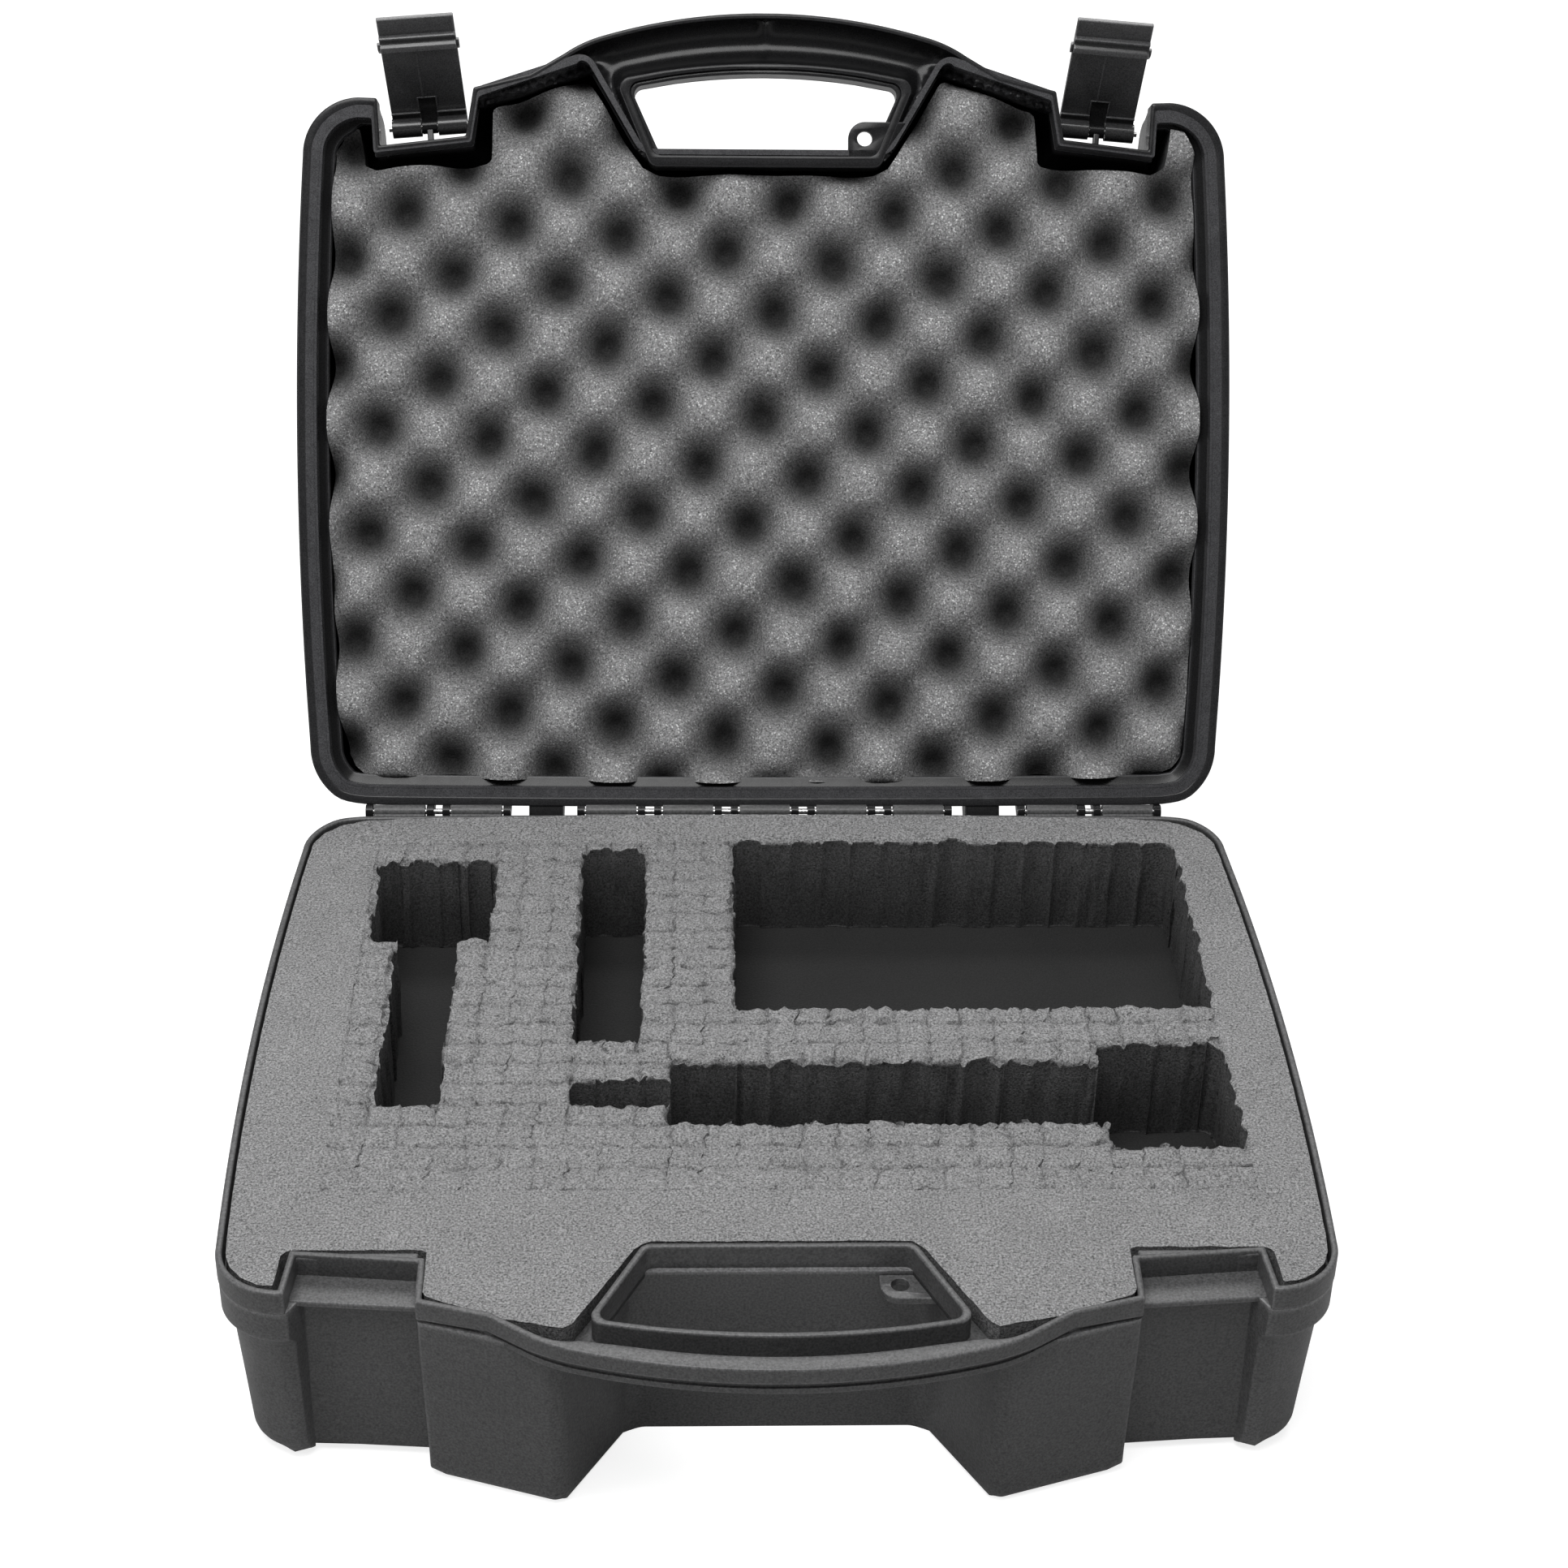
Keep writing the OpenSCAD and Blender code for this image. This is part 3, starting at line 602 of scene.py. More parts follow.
def walls(h, s, post, extra=0.0, step=SOFT_STEP):
    """Insets of the walls, h above the outer face of a half and s below its rim.

    The sides step in along a smooth curve, and every wall leans in by its
    share of the draft between 25 and 75 mm below the rim. The corner posts are
    rounded to their own radius at the foot.
    """
    lean = DRAFT * min(1.0, max(0.0, (s - 25) / 50))
    q = min(1.0, max(0.0, (s - step[0]) / step[1]))
    band = STEP_IN * max(0.08, q * q * (3 - 2 * q))
    side = lean + band + rounding(10, h)
    front = 0.7 * lean + rounding(4.5, h) + 0.4
    inner = 0.3 * lean + 0.4
    return np.array([side, front + rounding(post, h), inner, front, front, inner]) + extra


TUB_HEIGHTS = [0, 0.12, 0.5, 1.1, 1.9, 3.0, 4.4, 6.2, 8.2, 10.5, 30, 59.5, 60.4, 61.2, 62, 62.8,
               63.6, 64.4, 65.2, 70, 74, 75.5, 76.9]
TUB_TOP = TUB_HEIGHTS[-1]
# Thickness of the floor, and the radius at the foot of the posts
FLOOR, FOOT_R = 3, 3


def tub_shell():
    """Outer skin from the floor to the rim, over the top of the wall and down the inside.

    The wall of the latch recess ends 3 mm above the floor, and fades back to
    the other walls' heights by 24 mm.
    """
    short = np.array([0, 0, 3.0, 0, 0, 0])
    out = []
    for h in TUB_HEIGHTS:
        d = walls(h, BASE_H - h, FOOT_R, step=TUB_STEP)
        d[POST] = 0.25 * (BASE_H - h) / 25 + 0.3 + rounding(FOOT_R, h)
        d[NOTCH] += rounding(2, h)
        out.append((h - BASE_H + short * max(0.0, 1 - h / 24), d))
    inner = [(h - BASE_H, walls(h, BASE_H - h, FOOT_R, WALL)) for h in (TUB_TOP, 62, 10.5, 7)]
    return loft(TUB, out + inner + [(FLOOR - BASE_H, walls(7, 80, FOOT_R, WALL + 3))])


def tub_inside(h, gap):
    """Outline of the tub's hollow at height h over the floor, less a gap."""
    return shrunk_by_wall(TUB, walls(h, BASE_H - h, FOOT_R, WALL + gap))


def by_wall(side, front, land=None):
    """Values for the six walls of a rim: those of the handle's edge and of the land apart."""
    return [side, side, side, front, side, front if land is None else land]


# Underside and top of the web inside the base's rim, and of the one inside the lid's
WEB, LID_WEB = (-12.4, -10.0), (10.15, 12.4)


def rim_band():
    """The upright rim of the base: out at the foot, up, over the crest and down inside."""
    return loft(RIM_BASE, [
        (WEB[0], by_wall(2.4, 2.6)), (by_wall(-10.1, -12.3), by_wall(0.9, 2.1)),
        (by_wall(-10.0, -7.3), by_wall(0.5, 2.1)), (by_wall(-9.9, -7.1), by_wall(0.2, 1.7)),
        (by_wall(-9.6, -7.0), by_wall(0.0, 0.3)), (by_wall(-9.2, -6.6), 0.0),
        (by_wall(-8.6, -6.0), 0.0), (-1.6, 0.0), (-1.05, 0.0), (-0.6, 0.1), (-0.3, 0.38),
        (-0.16, 0.8), (-SEAM, by_wall(1.5, 1.5, 5.6)), (-0.25, by_wall(1.95, 1.95, 6.4)),
        (-0.55, by_wall(2.25, 2.25, 6.9)), (-1.1, by_wall(2.4, 2.4, 7.1)),
        (-1.7, by_wall(2.4, 2.4, 7.1)), (-10.2, by_wall(2.4, 2.4, 7.1)),
        (WEB[0], by_wall(2.4, 2.6, 7.1))], closed=True, r=0.9)


def base_tray():
    """The flat web between the tub, the rim and the window of the handle."""
    return slab([shrunk(TRAY[:, :2], 1.2), hole(tub_inside(TUB_TOP, 0)), hole(RING_BASE_IN)],
                *WEB, 0.2, 0.2)


def base_ring():
    """Upright wall round the window of the handle."""
    return slab([RING_BASE_OUT, hole(RING_BASE_IN)], -12.5, -SEAM, 0.9, 0.3)


def base_shelf():
    """Shelf across the latch recess, its front edge the lip for the hook, and the wall behind."""
    plate = slab([[(126.5, -307.15), (173.9, -303.4), (174.5, -288.0), (126.5, -288.0)]],
                 -12.0, -9.5, 0.7, 0.5)
    bead = slab([[(128.5, -292.2), (172.0, -289.9), (172.0, -287.5), (128.5, -287.5)]],
                -10.5, -1.2, 0.9, 0.3)
    return plate, bead


# Middle of the padlock hole, its radius, and that of the plate's round end
PADLOCK_AT, PADLOCK_R, PADLOCK_END = (43.2, -293.6), 3.3, 7.2


def padlock_plate(z0, z1):
    """Corner plate inside a window, with a round end and a drilled hole."""
    round_end = arc(PADLOCK_AT, PADLOCK_END, 180, 270, 0, 9)[:, :2]
    drill = arc(PADLOCK_AT, PADLOCK_R, 0, 345, 0, 15)[:, :2]
    outer = np.vstack([round_end, [(62, -300.8), (51, -285), (36, -285)]])
    return slab([outer, hole(drill)], z0, z1, 0.4, 0.4)


# Middles of the hinge barrels, half their length, and their radius
KNUCKLES = [k * 33.7 for k in range(-2, 3)] + [126.3, 159.8, -126.3, -159.8]
KNUCKLE_HALF, KNUCKLE_R = 11.0, 3.0


def knuckle(x):
    """Hinge barrel of the base with its web down to the rear wall."""
    x0, x1 = x - KNUCKLE_HALF, x + KNUCKLE_HALF
    return [rod(x0, x1, KNUCKLE_R),
            bar(x0, x1, [(-3.6, -13.5), (2.75, -2.6), (2.75, 0.4), (-3.6, 0.4)])]


def make_base_shell():
    """The base moulding: tub, rim, handle, latch shelves, padlock plate and hinge barrels."""
    shelf, bead = base_shelf()
    parts = [tub_shell(), rim_band(), base_tray(), base_ring(),
             *both(shelf), *both(bead), padlock_plate(-15, -12)]
    for x in KNUCKLES:
        parts += knuckle(x)
    return piece("base_moulding", parts, place_base, "base", "shell_plastic", TUB_PLASTIC,
                 "base_shell")


# --------------------------------------------------------------- lid shell

LID_HEIGHTS = [0, 0.12, 0.5, 1.1, 1.9, 3.0, 4.4, 6.2, 8.2, 10.5, 13, 16, 18, 20, 22, 24, 26, 28,
               30, 33, 40.6]
LID_FOOT_R = 14


def lid_skin():
    """Outer face of the lid down to its rim, under the wall and up the inside to the roof."""
    inner = [(w, np.array([8.6, 8.6, 2.8, 8.6, 2.8, 2.8]) + e)
             for w, e in ((0.4, 0), (25, 0), (33, 3), (LID_H - WALL, 7))]
    out = [(LID_H - h, walls(h, LID_H - h, LID_FOOT_R)) for h in LID_HEIGHTS[::-1]]
    return loft(LID_BODY, inner[::-1] + out)


def lid_rim():
    """Land, groove and ridge round the rim of the lid, and a thin wall round the latches and bow.

    The table gives the side's height, the other walls' height, and the insets
    of the side, of the posts and blocks, and of the rest.
    """
    outer = [(LID_WEB[1], 1.2), (12.3, 0.5), (12.1, 0.15), (11.8, 0.0), (11.2, 0.0), (1.5, 0.0),
             (1.0, 0.0), (0.55, 0.1), (0.3, 0.35), (SEAM, 0.8)]
    table = [(SEAM, SEAM, 3.3, 1.5, 1.5), (0.3, 0.3, 3.7, 1.95, 1.95), (0.6, 0.6, 3.95, 2.2, 2.2),
             (1.1, 1.1, 4.0, 2.3, 2.3), (3.4, 3.4, 4.05, 2.4, 2.4), (3.7, 6, 4.5, 2.4, 2.4),
             (3.7, 6.5, 6.3, 2.45, 2.4), (3.4, 7, 6.75, 2.5, 2.4), (0.9, 7.5, 6.8, 2.55, 2.4),
             (0.5, 8, 7.0, 2.6, 2.4), (0.35, 8.4, 7.4, 2.6, 2.4), (0.5, 8.8, 7.9, 2.6, 2.4),
             (0.9, 9.0, 8.15, 2.6, 2.4), (1.5, 9.2, 8.17, 2.6, 2.4), (6.8, 9.4, 8.29, 2.6, 2.4),
             (7.4, 9.6, 8.3, 2.6, 2.4), (7.8, 10, 8.8, 2.6, 2.4), (7.9, 10.2, 12.2, 2.6, 2.4),
             (8.2, 10.4, 12.7, 2.6, 2.4),
             (LID_WEB[1], LID_WEB[1], 12.9, 2.6, 2.4)]
    inner = [([z] + [thin] * 5, [side, block, rest, rest, block, rest])
             for z, thin, side, block, rest in table]
    return loft(RIM_LID, (outer + inner)[::-1], closed=True, r=0.9)


def lid_tray():
    """Web between the rim of the lid, its front walls and the window of the handle."""
    well = shrunk_by_wall(LID_BODY, np.array([9.0, 9.0, 3.2, 9.0, 4.0, 3.0]))
    return slab([shrunk(RIM_LID[:, :2], 1.3), hole(well), hole(RING_LID_IN)],
                *LID_WEB, 0.2, 0.2)


def lid_ring():
    """Double wall round the lid's window: an outer crest, a step and an inner crest."""
    crest = slab([RING_LID_OUT, hole(RING_LID_STEP)], SEAM, LID_WEB[1], 0.5, 0.7)
    inner = slab([RING_LID_STEP, hole(RING_LID_IN)], 1.8, LID_WEB[1], 0.4, 0.5)
    return [crest, inner]


def gap(points, line):
    """Distance from each point to an open line, through twelve points on each of its edges."""
    fine = np.vstack([a + (b - a) * np.linspace(0, 1, 12)[:, None]
                      for a, b in zip(line[:-1], line[1:])])
    return np.sqrt(((points[:, None] - fine) ** 2).sum(-1)).min(1)


def handle_valley():
    """Hollow of the handle and of the rim over the blocks, as one smooth valley.

    At a point whose distances to the outer edge and to the inner edges are a
    and b, with s = a / (a + b), its depth is min(8.8, 0.8 (a + b)) sin(pi s)
    to the power 0.62. Over the blocks a thin strip stands up in its middle.
    """
    outer = shrunk(RIM_LID[:, :2], 2.1)
    right = outer[(outer[:, 1] < -300) & (outer[:, 0] > 0) & (outer[:, 0] < 125)]
    right = np.vstack([right[np.argsort(right[:, 0])], [(125.0, -313.2)]])
    bend = np.array([(125.0, -306.2), (75.5, -322.5), (55.1, -287.5), (52.0, -284.0)])
    step = 1.0
    cut = cut_sheet(np.arange(-126, 126.1, step), np.arange(-348, -283, step),
                    [both_halves(np.vstack([right, bend])), RING_LID_OUT])
    q, on_rim = cut[0], cut[4]
    x = np.abs(q[:, 0])
    folded = np.c_[x, q[:, 1]]
    a = gap(folded, right)
    b = np.minimum(gap(folded, bend), np.hypot(*(nearest(q, RING_LID_OUT) - q).T))
    s = a / np.maximum(a + b, 1e-6)
    depth = np.minimum(8.8, 0.8 * (a + b)) * np.maximum(np.sin(np.pi * s), 0) ** 0.62
    strip = np.clip((x - 97) / 4, 0, 1) * np.clip((122 - x) / 1.5, 0, 1)
    depth = depth - strip * 3.4 * np.exp(-((a - 5.0) / 0.9) ** 2)
    return turned_over(foam_sheet(cut, -np.maximum(0.9 + depth, 0.5), [(q[on_rim], -11.4)]))


def lid_lug(x):
    """Thin hinge lug of the lid round the pin."""
    return [rod(x - 1.55, x + 1.55, KNUCKLE_R, 0.3),
            bar(x - 1.55, x + 1.55, [(-4.3, 1.2), (2.75, 0.0), (2.75, 4.4), (-4.3, 12)], 0.3)]


def lid_heel():
    """Hollow stop heel behind the lid, in five plates."""
    outer = [(-4, 1.4), (2.2, 0.9), (8, 4.3), (8, 10), (-1, 17), (-4, 17)]
    return [bar(88.5, 90.0, outer, 0.3), bar(102.0, 103.5, outer, 0.3)] + [
        bar(89, 103, wrap, 0.3) for wrap in (
            [(-4, 1.4), (2.2, 0.9), (8, 4.3), (6.4, 5.2), (2.2, 2.6), (-4, 3)],
            [(8, 4.3), (8, 10), (6.4, 9.4), (6.4, 5.2)],
            [(8, 10), (-1, 17), (-4, 17), (-4, 15), (-1, 15), (6.4, 9.4)])]


def latch_lug():
    """Middle lug of a latch, with the rib that joins it to the back of the notch."""
    return [rod(-3.3, 3.3, 3.2, 0.3),
            bar(-1.3, 1.3, [(0, -2.4), (12.2, -3.8), (12.2, 4.6), (8.4, 3.6), (6.4, 1), (0, 1)],
                0.3)]


def make_lid_shell():
    """The lid moulding: roof and walls, rim, handle, padlock tab, hinge lugs, heels, latch lugs."""
    parts = [lid_skin(), lid_rim(), lid_tray(), *lid_ring(), handle_valley(),
             padlock_plate(0.4, 4)]
    for x in KNUCKLES:
        for off in (-13.3, 13.3):
            parts += lid_lug(x + off)
    for heel in lid_heel():
        parts += both(heel)
    for side in (-1, 1):
        parts += [(at_pivot(v, side), faces) for v, faces in latch_lug()]
    return piece("lid_moulding", parts, place_lid, "lid", "lid_plastic", LID_PLASTIC, "lid_shell")


# ----------------------------------------------------------------- latches

# Half width of a lever and of the gap over its lug, and the height of its hook under the pivot
HALF_W, BARE, HOOK = 16.5, 3.7, -40.4


def flat(loops, y0, y1, bevel=0.3):
    """A plate of (z, x) loops lying between two values of y, with rounded edges."""
    v, faces = slab(loops, y0, y1, bevel, bevel, bevel)
    return np.c_[v[:, 1], v[:, 2], v[:, 0]], faces


def box_loop(z0, z1, x0, x1):
    """A rectangle of z and x for flat."""
    return np.array([(z0, x0), (z1, x0), (z1, x1), (z0, x1)], float)


def latch_lever():
    """The lever as it hangs when closed, about its pivot.

    A tapered back plate, a front layer with the shallow window over the lid's
    lug, the hook and its second ridge, the cross bar with its two ears, two
    barrels with a thin lip beside each, and a low rib up the middle.
    """
    back = bar(-HALF_W, HALF_W, [(-7.2, -46.4), (-6.6, -55.5), (-4.4, -55.5), (-4.3, -47.2),
                                 (-5.5, -46.6), (-5.5, 2.8), (-5.7, 2.8), (-7.2, -1.0)], 0.4)
    front = flat([np.array([(HOOK + 1, -HALF_W), (2.8, -HALF_W), (2.8, -BARE), (-12.6, -BARE),
                            (-12.6, BARE), (2.8, BARE), (2.8, HALF_W), (HOOK + 1, HALF_W)])],
                 -5.7, -4.0, 0.25)
    hook = bar(-HALF_W, HALF_W, [(-5.9, HOOK + 0.4), (-5.9, -47.3), (-4.0, -47.3), (-2.4, -46.8),
                                 (-2.4, -45.8), (-3.4, -45.4), (-3.4, -43.6), (-1.4, -42.6),
                                 (-1.0, HOOK), (-4.0, HOOK)], 0.3)
    ears = bar(-17.7, 17.7, [(-5.2, -43.4), (-3.3, -43.4), (-3.3, HOOK), (-5.2, -37.4)], 0.3)
    rib = flat([box_loop(-37, -13.2, -1.9, -1.1)], -4.2, -3.8, 0.12)
    parts = [back, front, hook, ears, rib]
    for a, b in ((-HALF_W, -BARE), (BARE, HALF_W)):
        parts += [rod(a, b, 4.2, 0.35), flat([box_loop(-5.6, -4.7, a, b)], -4.3, -3.1, 0.2)]
    for a, b in ((-4.4, -3.8), (3.8, 4.4)):
        parts.append(flat([box_loop(-13.2, -5.0, a, b)], -4.2, -3.75, 0.12))
    parts.append(flat([box_loop(-13.4, -12.8, -4.4, 4.4)], -4.2, -3.75, 0.12))
    return parts


def make_latches():
    """The two levers, each riding on its own body."""
    for side, name in ((-1, "left"), (1, "right")):
        piece("latch_lever_" + name, latch_lever(), place_latch(side), name + "_latch",
              "latch_plastic", LATCH_PLASTIC, "latch_" + name)


# -------------------------------------------------------------------- foam

# Size of a scored cell, and one crossing of the scored lines, right and before the hinge
CELL, GRID_X, GRID_T = 12.7, -115.8, 202.8


def noise2(x, y, seed, scale):
    """Smooth noise: a sum of twelve sine waves with seeded directions, lengths and phases."""
    rng = np.random.default_rng(seed)
    out = np.zeros_like(x)
    for _ in range(12):
        a, k, p = rng.uniform(0, np.pi), rng.uniform(0.5, 1.8) / scale, rng.uniform(0, 2 * np.pi)
        out += np.sin((x * np.cos(a) + y * np.sin(a)) * 2 * np.pi * k + p)
    return out / np.sqrt(6.0)


def inside(p, loop):
    """Even-odd test of many points against one loop."""
    hit = np.zeros(len(p), bool)
    q = np.roll(loop, -1, 0)
    for (x1, y1), (x2, y2) in zip(loop, q):
        if y1 == y2:
            continue
        cross = (p[:, 1] < y1) != (p[:, 1] < y2)
        hit ^= cross & (p[:, 0] < (x2 - x1) * (p[:, 1] - y1) / (y2 - y1) + x1)
    return hit


def nearest(p, loop):
    """The nearest point of a loop to each point."""
    a, b = loop, np.roll(loop, -1, 0)
    d = b - a
    s = np.clip(((p[:, None] - a) * d).sum(-1) / np.maximum((d * d).sum(-1), 1e-9), 0, 1)
    q = a + s[..., None] * d
    k = np.argmin(((q - p[:, None]) ** 2).sum(-1), 1)
    return q[np.arange(len(p)), k]


def cut_sheet(xs, ys, loops, warp=None):
    """A grid of points cut to an outline and its holes.

    Faces whose middle lies inside the first loop and outside the others are
    kept, pairs that touch only at a corner are joined, and the points of the
    cut edge move to the nearest point of a loop. Returns the points, their
    places before the cut, the faces, the directed cut edges, the points on
    them, the number of each one's loop and its direction away from the sheet.
    """
    flat = np.stack(np.meshgrid(xs, ys, indexing="ij"), -1).reshape(-1, 2)
    p = flat.copy() if warp is None else flat + warp(flat[:, 0], flat[:, 1])
    quads = grid(len(xs), len(ys))
    mid = p[quads].mean(1)
    keep = inside(mid, loops[0])
    for loop in loops[1:]:
        keep &= ~inside(mid, loop)
    keep = keep.reshape(len(xs) - 1, len(ys) - 1)
    for _ in range(3):
        a, b, c, d = keep[:-1, :-1], keep[1:, 1:], keep[1:, :-1], keep[:-1, 1:]
        pinch = (a & b & ~c & ~d) | (~a & ~b & c & d)
        c |= pinch
        a |= pinch
        b |= pinch
    quads = quads[keep.ravel()]
    used, quads = np.unique(quads, return_inverse=True)
    p, flat, quads = p[used], flat[used], quads.reshape(-1, 4)
    edges = np.concatenate([quads[:, [i, (i + 1) % 4]] for i in range(4)]).astype(np.int64)
    rim = edges[~np.isin(edges[:, 0] * len(p) + edges[:, 1], edges[:, 1] * len(p) + edges[:, 0])]
    on_rim = np.unique(rim)
    best, dist, owner = p[on_rim].copy(), np.full(len(on_rim), 1e9), np.zeros(len(on_rim), int)
    for i, loop in enumerate(loops):
        q = nearest(p[on_rim], loop)
        e = np.hypot(*(q - p[on_rim]).T)
        better = e < dist
        best[better], dist[better], owner[better] = q[better], e[better], i
    p[on_rim] = best
    away = np.zeros_like(p)
    d = p[rim[:, 1]] - p[rim[:, 0]]
    for i in (0, 1):
        np.add.at(away, rim[:, i], np.c_[d[:, 1], -d[:, 0]])
    return p, flat, quads, rim, on_rim, owner, unit(away[on_rim])


def chains(following):
    """The closed loops of a ring map, each as its points in order.

    By doubling its steps, each point learns the least index of its loop and
    its own distance from there, and the points are sorted by both.
    """
    n = len(following)
    me = np.arange(n)
    least, jump = me.copy(), following.copy()
    rounds = int(np.ceil(np.log2(n))) + 1
    for _ in range(rounds):
        least = np.minimum(least, least[jump])
        jump = jump[jump]
    jump = np.where(me == least, me, following)
    steps = (jump != me).astype(int)
    for _ in range(rounds):
        steps = steps + steps[jump]
        jump = jump[jump]
    order = np.lexsort((np.where(me == least, -n, -steps), least))
    return np.split(order, np.flatnonzero(np.diff(least[order])) + 1)


def foam_sheet(cut, top, rings):
    """A cut sheet at its height, with walls down through the rings and a flat underside.

    Each ring is the places of the edge's points and their height. The last
    one is evened out along its loops, each point moving to the mean of itself
    and its neighbours five times, so that the underside has no folds.
    """
    p, _, quads, rim, on_rim, _, _ = cut
    v, faces, start = [np.c_[p, top]], [quads], len(p)
    number = np.full(len(p), -1)
    number[on_rim] = np.arange(len(on_rim))
    a, b = number[rim[:, 0]], number[rim[:, 1]]
    last = rim
    for places, height in rings:
        v.append(np.c_[places, np.broadcast_to(height, len(places))])
        here = start + np.stack([a, b], 1)
        faces.append(np.stack([last[:, 1], last[:, 0], here[:, 0], here[:, 1]], -1))
        last, start = here, start + len(places)
    following, back = np.arange(len(on_rim)), np.arange(len(on_rim))
    following[a], back[b] = b, a
    ends = rings[-1][0]
    for _ in range(5):
        ends = (ends[back] + 2 * ends + ends[following]) / 4
    v[-1][:, :2] = ends
    loops = chains(following)
    index = np.concatenate(loops)
    faces.append(index[cap([ends[q] for q in loops], up=False)] + start - len(on_rim))
    return np.vstack(v), faces


def lines(lo, hi, first, pitch, offsets):
    """Grid lines at the given offsets inside each cell of a row of cells, from lo to hi."""
    k = np.arange(np.floor((lo - first) / pitch), np.ceil((hi - first) / pitch) + 1)
    x = (first + k[:, None] * pitch + np.array(offsets)[None]).ravel()
    return x[(x > lo - pitch / 2) & (x < hi + pitch / 2)]


def wavy(corners, amount, seed):
    """A pocket's outline whose edges bulge cell by cell, as torn foam does.

    Each edge is moved along its normal by a power of the sine of its place in
    the cell, of a size that changes from cell to cell, plus a little noise,
    and less near its ends.
    """
    pts = []
    for i, (a, b) in enumerate(zip(corners, np.roll(corners, -1, 0))):
        length = np.linalg.norm(b - a)
        s = np.linspace(0, 1, max(2, int(length / 1.2)), endpoint=False)
        q = a + (b - a) * s[:, None]
        along = (b - a) / length
        normal = np.array([-along[1], along[0]])
        cell = (q @ np.abs(along) - (GRID_X if abs(along[0]) > 0.5 else -GRID_T)) / CELL
        bulge = np.abs(np.sin(np.pi * cell)) ** 0.55
        size = 0.75 + 0.35 * noise2(np.floor(cell) * 3.1 + i * 7, np.floor(cell) * 1.7, seed, 3.0)
        taper = np.minimum(1, np.minimum(s, 1 - s) * length / 4)
        noise = 0.25 * noise2(q[:, 0], q[:, 1], seed + 1, 4.0)
        pts.append(q - normal * ((amount * bulge * size + noise) * taper)[:, None])
    return np.vstack(pts)


def gx(c):
    """The scored line of column c."""
    return GRID_X + CELL * c


# Pockets as corner points, counter-clockwise, so that their bulges point into them
POCKETS = [np.array(loop, float) for loop in (
    [(gx(-4) + 3, -95.2), (gx(-3) + 2, -95.2), (gx(-3) + 2, -GRID_T), (gx(-1), -GRID_T),
     (gx(-1), -95.2), (gx(0), -95.2), (gx(0), -39.5), (gx(-4) + 3, -39.5)],
    [(gx(3), -163), (gx(5), -163), (gx(5), -31), (gx(3), -31)],
    [(gx(8) + 0.4, -142), (gx(23), -142), (gx(23), -24), (gx(8) + 0.4, -24)],
    [(gx(3), -202.8), (gx(6), -202.8), (gx(6), -214), (gx(19) + 2, -214), (gx(19) + 2, -229),
     (gx(23), -229), (gx(23), -167.5), (gx(19) + 2, -167.5), (gx(19) + 2, -179), (gx(6), -179),
     (gx(6), -189.5), (gx(3), -189.5)])]


def diced_area(x, y):
    """1 where the foam is scored into cells, 0 in the plain margin."""
    inside_x = np.clip((x + 167.3) / 0.6, 0, 1) * np.clip((gx(23) + 0.9 - x) / 0.6, 0, 1)
    inside_y = np.clip((y + 254.3) / 0.6, 0, 1) * np.clip((-24.2 - y) / 0.6, 0, 1)
    return inside_x * inside_y


def pocket_distance(x, y):
    """Distance to the nearest pocket's nominal edge, outside it."""
    d = np.full_like(x, 1e9)
    for loop in POCKETS:
        q = nearest(np.c_[x, y], loop)
        d = np.minimum(d, np.hypot(q[:, 0] - x, q[:, 1] - y))
    return d


def diced_warp(x, y):
    """Drift of the scored lines, with the front of each cell bulging by a millimetre."""
    area = diced_area(x, y)
    bulge = np.abs(np.sin(np.pi * (x - GRID_X) / CELL)) ** 0.6
    drift = np.c_[0.7 * noise2(x, y, 41, 9.0), 0.6 * noise2(x, y, 42, 9.0) - 1.1 * bulge]
    return drift * area[:, None]


def hashed(ix, iy, a, b, size):
    """A number from -0.5 to 0.5 for each cell: the fraction of a large sine."""
    s = np.sin(ix * a + iy * b) * size
    return s - np.floor(s) - 0.5


